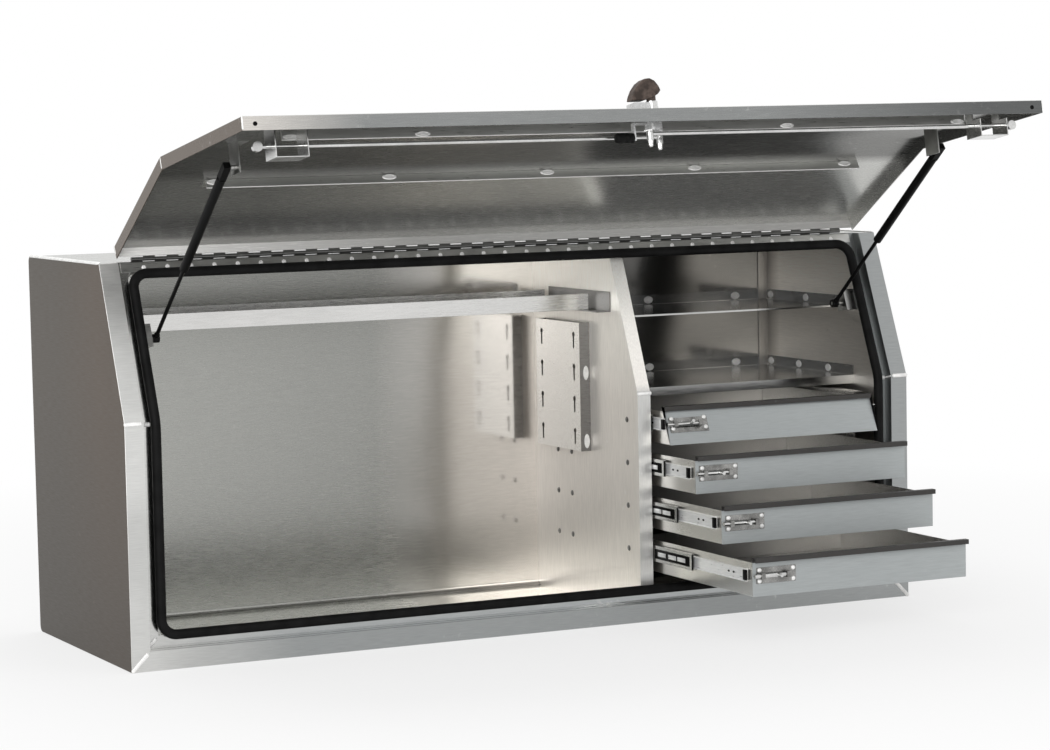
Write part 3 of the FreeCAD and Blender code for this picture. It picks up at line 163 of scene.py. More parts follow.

# Where one tone passes into another, from and to, in metres; most of these bands place painted light and shade

END_GREY = (-0.15, 0.12)
END_LOW_SHADE = (0.55, 0.1)
BAY_UPPER_LIGHT = (0.6, 0.68)
BAY_CORNER_SHADE = (BACK - 0.06, BACK - 0.01)
WALL_MIDDLE_SHADE = (-0.7, -0.25)
WALL_REFLECTION = (-0.12, 0.2)
WALL_GLOSS = (-0.1, 0.12)
WALL_SOLE_LIGHT = (0.004, 0.003)
BAY_LOWER = (0.64, 0.6)
FRAME_LEDGE = (0.003, 0.004)
FRAME_LIT_TO_SHADE = (-0.85, -0.55)
FRAME_RIGHT_SHADE = (0.82, 0.83)
FRAME_GLOSS = (0.5, 0.8)
LID_LEFT_SHADE = (0.0, -0.6)
LID_LOW_SHADE = (0.58, 0.55)
LID_INNER = (LID_SKIN + 0.0005, LID_SKIN + 0.001)
HEM_HIGHLIGHT_BAND = (-0.8, -0.2)
FOOT_RIGHT_SHADE = (0.2, 0.7)
FOOT_LEFT_LIGHT = (-0.62, -0.84)
KNUCKLE_SHADE = (0.0075, 0.006)
DIVIDER_EDGE = (-0.248, -0.26)
DIVIDER_UPPER_LIGHT = (0.45, 0.7)
TRAY_LIGHT = (DIVIDER + 0.1, HALF - 0.08)

# Levels where a tone begins or ends, in metres

INSIDE_END = HALF - 0.002
LID_LEFT_END = 0.002 - LID_HALF
FOOT_TOP = LID_FOOT + 0.001
TRAY_INSIDE = DIVIDER + SLIDE_GAP + 0.0008

# How far welds keep from corners and edges, in metres

MITRE_OUTER = 0.003
MITRE_INNER = 0.007
LEDGE_OUTER = 0.004
LEDGE_INNER = 0.008
KNEE_OUTER = 0.002
GROUND_OUTER = 0.002
SEAM_OUTER = 0.001
SEAM_FRONT = 0.006
SEAM_BACK = 0.016
FLANGE_FOOT = 0.006
FLANGE_TOP = 0.004
FLANGE_LEFT = 0.002
FLANGE_RIGHT = 0.001
LID_TOP = 0.004

# Weld ripples: their pitch in bead widths and their length in pitches

RIPPLE_PITCH = 0.36
RIPPLE_LENGTH = 2.4

# Camera and lights

CAMERA_AT = (-2.8612, -6.1525, 1.0865)
CAMERA_AHEAD = (0.43386876, 0.89707844, -0.08371484)
CAMERA_UP = (0.05428082, 0.06672087, 0.99629409)
CAMERA_LENS = 108.19
LAMP_AIM = Vector((0, -0.2, 0.5))
WHITE = (1, 1, 1, 1)


def slant(x, down, inside):
    """A point a distance down the slope from its top edge and inside its face."""
    y = FRONT + SLOPE_RUN - down * SLOPE_RUN / SLOPE + inside * RISE / SLOPE
    z = HEIGHT - down * RISE / SLOPE - inside * SLOPE_RUN / SLOPE
    return Vector((x, y, z))


def knee(x, inside):
    """The bend of the front face, moved inwards."""
    return Vector((x, FRONT + inside, KNEE - inside * (SLOPE - RISE) / SLOPE_RUN))


SLOPE_OUT = Vector((0, -RISE, SLOPE_RUN)) / SLOPE
SLOPE_DOWN = Vector((0, -SLOPE_RUN, -RISE)) / SLOPE
AHEAD = Vector((0, -1, 0))
LEFTWARD = Vector((-1, 0, 0))


# Settings

def length(name, words, value):
    return FloatProperty(name=name, description=words, default=value, unit="LENGTH")


def colour(name, words, value):
    return FloatVectorProperty(name=name, description=words, subtype="COLOR", size=3, min=0, max=1,
                               default=value)


class ToolboxSizes(bpy.types.PropertyGroup):
    edge_round: length("Edge round", "Rounding of cut sheet edges", 0.0008)
    fitting_round: length("Fitting round", "Rounding of small steel fittings", 0.0006)
    paddle_round: length("Paddle round", "Rounding of the handle's paddle", 0.006)
    bead_width: length("Weld width", "Width of a weld bead", 0.0095)
    bead_height: length("Weld height", "Height of a weld bead", 0.0026)
    gap_width: length("Ground weld width", "Width of a weld ground down for the lid gap", 0.0035)
    gap_height: length("Ground weld height", "Height of a weld ground down for the lid gap", 0.0009)
    patch_height: length("Tack height", "Height of a tack weld on a rib", 0.004)
    plug_length: length("Plug weld length", "Length of an oval plug weld", 0.032)
    rivet_radius: length("Rivet radius", "Radius of a pop rivet's head", 0.0048)
    screw_radius: length("Screw radius", "Radius of a slide screw's head", 0.0062)
    ring_length: length("Shelf weld length", "Length of a plug weld on a short shelf", 0.024)
    rivet_sides: IntProperty(name="Rivet sides", description="Sides of a rivet's rim", default=14, min=8)


class ToolboxColours(bpy.types.PropertyGroup):
    # Painted shade: the end panels' metal is coloured dark, warm at the front and greyer at the back
    end_painted_shade_warm: colour("End panel, warm", "Warm part of the end panels", (0.098, 0.075, 0.056))
    end_painted_shade_grey: colour("End panel, grey", "Greyer back part of the end panels", (0.084, 0.072, 0.058))
    wall_grey: colour("Wall", "Back wall, floor and top", (0.42, 0.422, 0.4))
    # Painted reflection: a warm light band on the back wall beside the divider
    wall_painted_reflection: colour("Wall, warm", "Back wall beside the divider", (0.66, 0.63, 0.595))
    bay_grey: colour("Bay", "Side walls of the drawer bay", (0.52, 0.5, 0.47))
    # Painted shade: the drawer bay's back wall and the dark insides of the drawers
    bay_painted_shade: colour("Bay, dark", "Back wall of the drawer bay", (0.135, 0.132, 0.125))
    # Painted light and shade: the frame lit on the left post and shaded on the sill, header and right post
    frame_painted_light: colour("Frame", "Left post", (0.6, 0.6, 0.585))
    frame_painted_shade: colour("Frame, cool", "Sill, header and right post", (0.33, 0.342, 0.342))
    lid_grey: colour("Lid", "Inside of the lid", (0.62, 0.62, 0.595))
    # Painted shade: the lid's foot flange, darker still towards the right
    flange_painted_shade: colour("Lid flange", "Foot flange of the lid", (0.255, 0.262, 0.26))
    rib_grey: colour("Lid ribs", "Angle ribs of the lid", (0.62, 0.62, 0.6))
    shelf_bright: colour("Shelf", "Tool shelf", (0.7, 0.695, 0.68))
    channel_bright: colour("Channel", "Keyhole channel", (0.86, 0.85, 0.825))
    divider_warm: colour("Divider", "Divider sheet", (0.82, 0.785, 0.74))
    deck_grey: colour("Deck", "Short shelf and drawer deck", (0.52, 0.52, 0.51))
    front_blue: colour("Drawer front", "Blue-grey drawer fronts", (0.365, 0.386, 0.388))
    # Painted shade and dark reflection at the top of each drawer front, by its finger lip
    lip_painted_shade: colour("Drawer lip", "Dark finger lips", (0.042, 0.04, 0.038))
    tray_pale: colour("Drawer tray", "Drawer sides and floors", (0.6, 0.588, 0.565))
    steel_bright: colour("Bright steel", "Rods, bolts and dome nuts", (0.7, 0.7, 0.69))
    hinge_grey: colour("Hinge steel", "Hinge leaves and strut brackets", (0.44, 0.44, 0.425))
    zinc_white: colour("Zinc plate", "Drawer slides and lock body", (0.82, 0.825, 0.825))
    # The weld colour also paints a highlight on the free edges of the lid ribs
    weld_pale_and_rib_highlight: colour("Weld", "Weld metal and rivets", (0.9, 0.895, 0.88))
    rubber_black: colour("Rubber", "Bulb seal and knob", (0.006, 0.006, 0.006))
    strut_black: colour("Strut", "Strut tubes and rods", (0.004, 0.004, 0.004))
    latch_grey: colour("Latch plate", "Plates of the drawer bolts", (0.25, 0.248, 0.24))
    slide_grey: colour("Slide, middle", "Middle members of the slides", (0.4, 0.4, 0.39))
    hanger_grey: colour("Hanger", "Hangers of the tool shelf", (0.23, 0.226, 0.22))
    # Painted highlight: the lid's hinge edge, brightest at its left end
    hem_painted_highlight: colour("Lid hem", "Hinge edge of the lid, at its left end", (0.9, 0.89, 0.87))
    handle_brown: colour("Handle", "Handle paddle", (0.06, 0.045, 0.038))


# Modelling

def enter(mode):
    bpy.ops.object.mode_set(mode=mode)


def clear_selection():
    bpy.ops.object.select_all(action="DESELECT")


def pick(piece):
    clear_selection()
    piece.select_set(True)
    bpy.context.view_layer.objects.active = piece


def rename(piece, name):
    piece.name = name
    piece.data.name = name
    return piece


def settle(piece, name, place):
    """Names a finished piece and puts its place into its mesh."""
    pick(piece)
    piece.matrix_world = place
    bpy.ops.object.transform_apply()
    return rename(piece, name)


def apply_modifiers(piece):
    pick(piece)
    for modifier in list(piece.modifiers):
        bpy.ops.object.modifier_apply(modifier=modifier.name)


def smooth(piece, degrees):
    pick(piece)
    bpy.ops.object.shade_smooth_by_angle(angle=math.radians(degrees))


def flatten_shading(piece):
    """Keeps large flat faces evenly shaded beside their rounded edges."""
    even = piece.modifiers.new("even", "WEIGHTED_NORMAL")
    even.keep_sharp = True
    even.weight = 100
    apply_modifiers(piece)


def select_faces(piece, test):
    """Selects the faces that pass a test, in edit mode."""
    enter("EDIT")
    bpy.ops.mesh.select_mode(type="FACE")
    bpy.ops.mesh.select_all(action="DESELECT")
    enter("OBJECT")
    for face in piece.data.polygons:
        face.select = test(face)
    enter("EDIT")


def step_up(rise, scale, height):
    """Extrudes the selected top face upwards and scales it about the axis."""
    bpy.ops.mesh.extrude_region_move(TRANSFORM_OT_translate={"value": (0, 0, rise)})
    bpy.ops.transform.resize(value=(scale, scale, 1), center_override=(0, 0, height))


def turned_head(radius, sides, profile):
    """A turned head on +Z: a rim, then steps of (rise, scale of the last ring)."""
    clear_selection()
    height = profile[0][0]
    bpy.ops.mesh.primitive_cylinder_add(vertices=sides, radius=radius, depth=height,
                                        location=(0, 0, height / 2))
    head = bpy.context.object
    select_faces(head, lambda face: face.normal.z > 0.9)
    for rise, scale in profile[1:]:
        height += rise
        step_up(rise, scale, height)
    enter("OBJECT")
    bpy.ops.object.transform_apply()
    smooth(head, 50)
    return head


def facing(at, outward, along=(1, 0, 0)):
    """A place whose +Z looks outward and whose +X runs along a direction."""
    z = Vector(outward).normalized()
    x = Vector(along)
    if abs(x.normalized().dot(z)) > 0.95:
        x = Vector((0, 1, 0))
    y = z.cross(x).normalized()
    x = y.cross(z)
    turn = Matrix((x, y, z)).transposed().to_4x4()
    return Matrix.Translation(at) @ turn


def sunk(at, outward, along=(1, 0, 0)):
    """A place like facing, set a little into the sheet."""
    return facing(at - Vector(outward) * HEAD_SUNK, outward, along)


def twin_of(piece):
    """A copy of a piece with a mesh of its own."""
    twin = piece.copy()
    twin.data = piece.data.copy()
    bpy.context.collection.objects.link(twin)
    return twin


def copies(pattern, name, places):
    """Copies one modelled piece to many places and joins them into one."""
    made = [settle(twin_of(pattern), name, place) for place in places]
    bpy.data.objects.remove(pattern)
    return join(made, name)


def join(pieces, name):
    clear_selection()
    for piece in pieces:
        piece.select_set(True)
    bpy.context.view_layer.objects.active = pieces[0]
    if len(pieces) > 1:
        bpy.ops.object.join()
    return rename(bpy.context.view_layer.objects.active, name)


def dress(piece, finish):
    piece.data.materials.clear()
    piece.data.materials.append(finishes[finish])


def carry(piece, body, finish, slot, *replaced):
    """Gives a piece its finish and lets it ride on a body."""
    dress(piece, finish)
    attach(piece, body)
    if replaced:
        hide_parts(*replaced)


def rounded(node, width, segments=2, angle=30):
    """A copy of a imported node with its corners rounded, which stands for it."""
    twin = twin_of(nodes[node])
    for key in list(twin.keys()):
        del twin[key]
    twin.parent = None
    pick(twin)
    enter("EDIT")
    bpy.ops.mesh.select_all(action="SELECT")
    bpy.ops.mesh.remove_doubles(threshold=1e-6)
    bpy.ops.mesh.dissolve_limited(angle_limit=math.radians(0.5))
    enter("OBJECT")
    if twin.data.has_custom_normals:
        bpy.ops.mesh.customdata_custom_splitnormals_clear()
    bevel = twin.modifiers.new("round", "BEVEL")
    bevel.width = width
    bevel.segments = segments
    bevel.limit_method = "ANGLE"
    bevel.angle_limit = math.radians(angle)
    bevel.use_clamp_overlap = True
    apply_modifiers(twin)
    smooth(twin, 30)
    flatten_shading(twin)
    return rename(twin, node + "_finished")


def cut_ball(segments, rings, size):
    """A ball scaled to a size and cut flat a little below its middle."""
    clear_selection()
    bpy.ops.mesh.primitive_uv_sphere_add(segments=segments, ring_count=rings, radius=0.5)
    ball = bpy.context.object
    ball.scale = size
    bpy.ops.object.transform_apply()
    enter("EDIT")
    bpy.ops.mesh.select_all(action="SELECT")
    bpy.ops.mesh.bisect(plane_co=(0, 0, -size[2] * 0.1), plane_no=(0, 0, 1), clear_inner=True,
                        use_fill=True)
    enter("OBJECT")
    return ball


def bead(start, end, outward, width, height):
    """A run of weld ripples from one point to another, sunk a little into the sheet."""
    along = Vector(end) - Vector(start)
    pitch = width * RIPPLE_PITCH
    count = max(3, int(along.length / pitch) + 1)
    ripple = cut_ball(8, 6, (pitch * RIPPLE_LENGTH, width, height * 2))
    run = ripple.modifiers.new("run", "ARRAY")
    run.count = count
    run.use_relative_offset = False
    run.use_constant_offset = True
    run.constant_offset_displace = (along.length / (count - 1), 0, 0)
    apply_modifiers(ripple)
    smooth(ripple, 60)
    return settle(ripple, "bead", facing(start, outward, along))


def plug(place, long, share, height):
    """An oval plug weld with a raised rim and a hollow middle."""
    oval = cut_ball(16, 10, (long, long * share, height * 2))
    select_faces(oval, lambda face: face.center.z > height * 0.75)
    bpy.ops.transform.translate(value=(0, 0, -height * 0.5))
    enter("OBJECT")
    smooth(oval, 60)
    return settle(oval, "plug", place)


def block(low, high, round_by):
    """A moulded block between two corners with rounded edges and a dished front."""
    low = Vector(low)
    high = Vector(high)
    size = high - low
    clear_selection()
    bpy.ops.mesh.primitive_cube_add(size=1, location=(low + high) / 2, scale=size)
    piece = bpy.context.object
    bpy.ops.object.transform_apply()
    select_faces(piece, lambda face: face.normal.y < -0.9)
    bpy.ops.mesh.inset(thickness=min(size.x, size.z) * 0.2, depth=-min(size) * 0.12)
    enter("OBJECT")
    bevel = piece.modifiers.new("round", "BEVEL")
    bevel.width = round_by
    bevel.segments = 2
    apply_modifiers(piece)
    smooth(piece, 35)
    return piece


# Materials

groups = {}
finishes = {}
SPOT_BAND = (0.64, 0.76)
PATCH_BAND = (0.45, 0.7)
GRAIN_TONE = (0.3, 0.7, 0.93, 1.07)
GRAIN_BAND = (0.2, 0.8)
SMOOTHER = 0.05
ROUGHER = 0.07
GRAIN_DEPTH = 0.0004
DULL_METALLIC = 0.15
FLOOR_FADE = (1.0, 3.0, 0.7, 1.0)


def add_node(tree, kind, inputs=None, **settings):
    node = tree.nodes.new("ShaderNode" + kind)
    for name, value in settings.items():
        setattr(node, name, value)
    for key, value in (inputs or {}).items():
        if isinstance(value, bpy.types.NodeSocket):
            tree.links.new(value, node.inputs[key])
        else:
            node.inputs[key].default_value = value
    return node


def empty_tree(owner):
    owner.use_nodes = True
    owner.node_tree.nodes.clear()
    return owner.node_tree


def sums(tree, operation, *values):
    """One step of arithmetic on values."""
    return add_node(tree, "Math", dict(enumerate(values)), operation=operation).outputs[0]


def times(tree, first, second):
    return sums(tree, "MULTIPLY", first, second)


def above(tree, value, level):
    """1 where a value is over a level."""
    return sums(tree, "GREATER_THAN", value, level)


def below(tree, value, level):
    """1 where a value is under a level."""
    return sums(tree, "LESS_THAN", value, level)


def vectors(tree, operation, *values):
    """One step of arithmetic on vectors, with both its results."""
    return add_node(tree, "VectorMath", dict(enumerate(values)), operation=operation).outputs


def rgba(value):
    return value if isinstance(value, bpy.types.NodeSocket) else (*value, 1.0)


def mixed(tree, share, first, second):
    """A colour between two others."""
    inputs = {0: share, 6: rgba(first), 7: rgba(second)}
    return add_node(tree, "Mix", inputs, data_type="RGBA").outputs[2]


def spread(tree, value, low, high, to_low=0.0, to_high=1.0):
    """A value moved from one range to another, and kept inside it."""
    inputs = {"Value": value, "From Min": low, "From Max": high, "To Min": to_low, "To Max": to_high}
    return add_node(tree, "MapRange", inputs, clamp=True).outputs[0]


def noise(tree, vector, scale, detail):
    inputs = {"Vector": vector, "Scale": scale, "Detail": detail}
    return add_node(tree, "TexNoise", inputs).outputs[0]


def part_of(tree, where, axis):
    return add_node(tree, "SeparateXYZ", {0: where}).outputs[axis]


def band(tree, where, axis, edges, low=0.0, high=1.0):
    """A value that passes from low to high between two places along an axis."""
    return spread(tree, part_of(tree, where, axis), *edges, low, high)


def shade(value, factor):
    return tuple(min(1.0, c * factor) for c in value)


def new_group(name, inputs, output):
    group = bpy.data.node_groups.new(name, "ShaderNodeTree")
    for label, kind, value in [("Vector", "Vector", None)] + inputs:
        socket = group.interface.new_socket(name=label, in_out="INPUT", socket_type="NodeSocket" + kind)
        if value is not None:
            socket.default_value = value
    group.interface.new_socket(name=output, in_out="OUTPUT", socket_type="NodeSocketFloat")
    return group, group.nodes.new("NodeGroupInput").outputs, group.nodes.new("NodeGroupOutput").inputs


def make_grain_group():
    """Fine lines left by rolling or brushing, drawn out by a stretch."""
    group, given, result = new_group("Brushed grain", [("Stretch", "Vector", (40, 900, 900))], "Grain")
    drawn = vectors(group, "MULTIPLY", given["Vector"], given["Stretch"])[0]
    group.links.new(noise(group, drawn, 1.0, 3.0), result["Grain"])
    return group


def make_tone_group():
    """Soft broad cloudiness of rolled sheet, which also stands for soft painted reflections."""
    inputs = [("Stretch", "Vector", (2, 2, 1)), ("Contrast", "Float", 0.2)]
    group, given, result = new_group("Sheet tone", inputs, "Tone")
    drawn = vectors(group, "MULTIPLY", given["Vector"], given["Stretch"])[0]
    low = sums(group, "SUBTRACT", 0.5, given["Contrast"])
    high = sums(group, "ADD", 0.5, given["Contrast"])
    group.links.new(spread(group, noise(group, drawn, 1.0, 2.0), low, high), result["Tone"])
    return group


def make_mark_group():
    """Scattered handling marks and small scratches."""
    group, given, result = new_group("Shop marks", [], "Mark")
    spots = spread(group, noise(group, given["Vector"], 60.0, 5.0), *SPOT_BAND)
    patches = spread(group, noise(group, given["Vector"], 3.1, 1.0), *PATCH_BAND)
    group.links.new(times(group, spots, patches), result["Mark"])
    return group


def use_group(tree, name, vector, **values):
    """Puts a shared effect into a tree and hands back its value."""
    inputs = {"Vector": vector}
    inputs.update({key.title(): value for key, value in values.items()})
    return add_node(tree, "Group", inputs, node_tree=groups[name]).outputs[0]


def stretch_of(value):
    """A stretch for each axis, where one number stands for all three."""
    return value if isinstance(value, tuple) else (value, value, value)


def metal(name, tint, shades, rough, grain=(30, 700, 700), clouds=(1.5, 1.5, 1.0), contrast=0.18,
          marks=0.25, bump=0.05, metallic=1.0, shine=0.5, light_and_shade=None, polish=None, dull=None):
    """Sheet or plated metal between two shades: cloudy tone that also stands for soft painted reflections, brushed
    grain and a few marks; light_and_shade paints light and shade into the colour.
    """
    material = bpy.data.materials.new(name)
    material.use_nodes = True
    tree = material.node_tree
    shader = tree.nodes["Principled BSDF"].inputs
    where = add_node(tree, "TexCoord").outputs["Object"]
    dark, light = [shade(tint, factor) for factor in shades]
    tone = use_group(tree, "tone", where, stretch=stretch_of(clouds), contrast=contrast)
    base = mixed(tree, tone, dark, light)
    if light_and_shade:
        base = light_and_shade(tree, where, base, bpy.context.scene.toolbox_colours)
    pale = tuple(min(1.0, c * 1.35 + 0.03) for c in light)
    base = mixed(tree, times(tree, use_group(tree, "mark", where), marks), base, pale)
    lines = use_group(tree, "grain", where, stretch=stretch_of(grain))
    fine = spread(tree, lines, *GRAIN_TONE)
    tree.links.new(vectors(tree, "MULTIPLY", base, fine)[0], shader["Base Color"])
    sheen = spread(tree, lines, *GRAIN_BAND, rough - SMOOTHER, rough + ROUGHER)
    if polish:
        sheen = times(tree, sheen, polish(tree, where))
    tree.links.new(sheen, shader["Roughness"])
    lift = add_node(tree, "Bump", {"Strength": bump, "Distance": GRAIN_DEPTH, "Height": lines})
    tree.links.new(lift.outputs[0], shader["Normal"])
    shader["Metallic"].default_value = metallic
    if dull:
        share = spread(tree, dull(tree, where), 0.0, 1.0, metallic, DULL_METALLIC)
        tree.links.new(share, shader["Metallic"])
    shader["Specular IOR Level"].default_value = shine
    finishes[name] = material


def face_normal(tree):
    return add_node(tree, "NewGeometry").outputs["Normal"]


def outer_side(tree, where):
    """1 on the faces of the wrapper that look away from the inside of the box."""
    spoke = vectors(tree, "SUBTRACT", where, (0, 0, HEIGHT / 2))[0]
    flat = vectors(tree, "MULTIPLY", spoke, (0, 1, 1))[0]
    return above(tree, vectors(tree, "DOT_PRODUCT", flat, face_normal(tree))["Value"], 0.0)


def depth_inside(tree, where):
    """How far a point lies behind the upright and the sloping front face."""
    spoke = vectors(tree, "SUBTRACT", where, (0, FRONT, KNEE))[0]
    lean = vectors(tree, "DOT_PRODUCT", spoke, -SLOPE_OUT)["Value"]
    return sums(tree, "MINIMUM", lean, part_of(tree, spoke, "Y"))


def faces_ahead(tree):
    """1 on faces that look to the front or to the back."""
    return above(tree, sums(tree, "ABSOLUTE", part_of(tree, face_normal(tree), "Y")), 0.7)


def lid_shut(tree, where):
    """Where a point of the open lid lies with the lid shut."""
    inputs = {"Vector": where, "Center": HINGE, "Angle": LID_SWING}
    return add_node(tree, "VectorRotate", inputs, rotation_type="X_AXIS").outputs[0]


def lid_hem(tree, where):
    """1 on the lid's turned edge beside the hinge."""
    away = vectors(tree, "SUBTRACT", lid_shut(tree, where), HINGE)[0]
    return below(tree, vectors(tree, "DOT_PRODUCT", away, SLOPE_DOWN)["Value"], LID_HEM)


def rib_edge(tree, where):
    """1 on the free edge of a lid rib's standing leg."""
    shut = lid_shut(tree, where)
    on_slope = above(tree, part_of(tree, shut, "Z"), KNEE)
    edge = spread(tree, on_slope, 0.0, 1.0, LID_INSIDE + LOWER_RIB_LEG, LID_INSIDE + UPPER_RIB_LEG)
    return above(tree, depth_inside(tree, shut), edge)


def upturned(tree, where):
    """1 on the upturned edges of the short shelf and the drawer deck."""
    z = part_of(tree, where, "Z")
    on_deck = times(tree, above(tree, z, DECK_EDGE), below(tree, z, BETWEEN_SHELVES))
    return sums(tree, "MAXIMUM", on_deck, above(tree, z, SHELF_EDGE))


# Painted light and shade: c holds the colours

# Painted shade: the end panels' outer faces are dark, greyer towards the back and darker towards the bottom; the
# right panel's face inside the drawer bay has painted light towards the top and painted shade in the back corner
def end_shade_paint(tree, where, base, c):
    grey = mixed(tree, band(tree, where, "Y", END_GREY), base, c.end_painted_shade_grey)
    outside = mixed(tree, band(tree, where, "Z", END_LOW_SHADE, high=0.5), grey, shade(c.end_painted_shade_grey, 0.55))
    upper = band(tree, where, "Z", BAY_UPPER_LIGHT)
    bay = mixed(tree, upper, shade(c.bay_grey, 1.3), shade(c.bay_grey, 1.9))
    inside = mixed(tree, band(tree, where, "Y", BAY_CORNER_SHADE), bay, shade(c.bay_grey, 0.6))
    x = sums(tree, "ABSOLUTE", part_of(tree, where, "X"))
    return mixed(tree, below(tree, x, INSIDE_END), outside, inside)


# Painted light and shade on the wrapper's inner faces: darker towards the middle of the back wall, a warm painted
# reflection beside the divider, painted shade on the drawer bay's back wall and painted light on the floor; the
# outer faces keep the plain sheet colour
def wall_light_paint(tree, where, base, c):
    middle = mixed(tree, band(tree, where, "X", WALL_MIDDLE_SHADE), base, shade(c.wall_grey, 0.8))
    with_reflection = mixed(tree, band(tree, where, "X", WALL_REFLECTION), middle, c.wall_painted_reflection)
    lower = band(tree, where, "Z", BAY_LOWER)
    bay = mixed(tree, lower, shade(c.bay_painted_shade, 0.85), shade(c.bay_painted_shade, 1.3))
    both = mixed(tree, above(tree, part_of(tree, where, "X"), DIVIDER), with_reflection, bay)
    soled = mixed(tree, band(tree, where, "Z", WALL_SOLE_LIGHT), both, shade(c.wall_grey, 2.3))
    return mixed(tree, outer_side(tree, where), soled, base)


def wall_polish(tree, where):
    inside = band(tree, where, "X", WALL_GLOSS, 1.0, 0.42)
    return sums(tree, "MAXIMUM", inside, outer_side(tree, where))


# Painted light and shade on the frame: the left post lit, the rest shaded, the deeper ledge lighter and the right
# gutter darker
def frame_light_paint(tree, where, base, c):
    ledge = spread(tree, depth_inside(tree, where), *FRAME_LEDGE)
    right = band(tree, where, "X", FRAME_RIGHT_SHADE)
    inner = mixed(tree, right, shade(c.frame_painted_shade, 1.3), shade(c.frame_painted_shade, 0.7))
    frame_shade_tone = mixed(tree, ledge, c.frame_painted_shade, inner)
    return mixed(tree, band(tree, where, "X", FRAME_LIT_TO_SHADE), base, frame_shade_tone)


def frame_polish(tree, where):
    shine = band(tree, where, "X", FRAME_GLOSS, 0.58, 0.0)
    ledge = spread(tree, depth_inside(tree, where), *FRAME_LEDGE)
    return spread(tree, times(tree, ledge, shine), 0.0, 1.0, 1.0, 0.0)


# Painted light and shade on the lid's inside, reckoned with the lid shut: painted shade towards the left and
# towards the bottom, the left end in the end panels' painted shade, a painted highlight on the hem by the hinge,
# and on the foot flange painted shade at the right and painted light at the left end; the outer skin keeps the
# plain sheet colour
def lid_light_paint(tree, where, base, c):
    shut = lid_shut(tree, where)
    left = mixed(tree, band(tree, shut, "X", LID_LEFT_SHADE, high=0.8), base, shade(c.lid_grey, 0.4))
    low = mixed(tree, band(tree, shut, "Z", LID_LOW_SHADE, high=0.8), left, shade(c.lid_grey, 0.2))
    end = below(tree, part_of(tree, shut, "X"), LID_LEFT_END)
    sided = mixed(tree, end, low, shade(c.end_painted_shade_warm, 1.1))
    pale = mixed(tree, band(tree, shut, "X", HEM_HIGHLIGHT_BAND), c.hem_painted_highlight, shade(c.hem_painted_highlight, 0.46))
    hemmed = mixed(tree, lid_hem(tree, where), sided, pale)
    flange = band(tree, shut, "X", FOOT_RIGHT_SHADE)
    right = mixed(tree, flange, c.flange_painted_shade, shade(c.flange_painted_shade, 0.46))
    foot = mixed(tree, band(tree, shut, "X", FOOT_LEFT_LIGHT), right, shade(c.divider_warm, 0.75))
    on_foot = below(tree, part_of(tree, shut, "Z"), FOOT_TOP)
    inner = spread(tree, depth_inside(tree, shut), *LID_INNER)
    return mixed(tree, inner, base, mixed(tree, on_foot, hemmed, foot))


# Painted highlight: a pale line on the free edge of each rib's standing leg
def rib_highlight_paint(tree, where, base, c):
    return mixed(tree, rib_edge(tree, where), base, c.weld_pale_and_rib_highlight)


# Painted shade: the upturned edges of the short shelf and the drawer deck darkened
def deck_shade_paint(tree, where, base, c):
    return mixed(tree, upturned(tree, where), base, shade(c.deck_grey, 0.22))


# Painted shade: the hinge darkened close around its pin, over the knuckles
def knuckle_shade_paint(tree, where, base, c):
    across = vectors(tree, "MULTIPLY", where, (0, 1, 1))[0]
    away = vectors(tree, "DISTANCE", across, (0.0, HINGE.y, HINGE.z))["Value"]
    return mixed(tree, spread(tree, away, *KNUCKLE_SHADE), base, shade(c.hinge_grey, 0.3))


# Painted light and shade: the divider lighter towards the top, and the front faces of its front flange darkened to
# the frame's painted shade tone
def divider_light_paint(tree, where, base, c):
    upper = mixed(tree, band(tree, where, "Z", DIVIDER_UPPER_LIGHT), base, shade(c.divider_warm, 1.25))
    edge = times(tree, band(tree, where, "Y", DIVIDER_EDGE), faces_ahead(tree))
    return mixed(tree, edge, upper, shade(c.frame_painted_shade, 1.25))


# Painted shade: the channel's faces that look to the front or back are darkened
def channel_shade_paint(tree, where, base, c):
    return mixed(tree, faces_ahead(tree), base, shade(c.hanger_grey, 0.7))


# Painted shade inside the drawers: dark at the left, lighter towards the right
def tray_shade_paint(tree, where, base, c):
    light = band(tree, where, "X", TRAY_LIGHT)
    shadow = mixed(tree, light, shade(c.bay_painted_shade, 0.55), shade(c.tray_pale, 1.1))
    inner = above(tree, part_of(tree, where, "X"), TRAY_INSIDE)
    return mixed(tree, inner, base, shadow)


# Painted shade and dark reflection: the top of each drawer front, by its finger lip, is coloured dark
def front_shade_paint(tree, where, base, c):
    step = sums(tree, "SUBTRACT", part_of(tree, where, "Z"), LOWEST - FRONT_BELOW)
    share = sums(tree, "FRACT", sums(tree, "DIVIDE", step, PITCH))
    return mixed(tree, spread(tree, share, *LIP_SHADE_SHARE), base, c.lip_painted_shade)


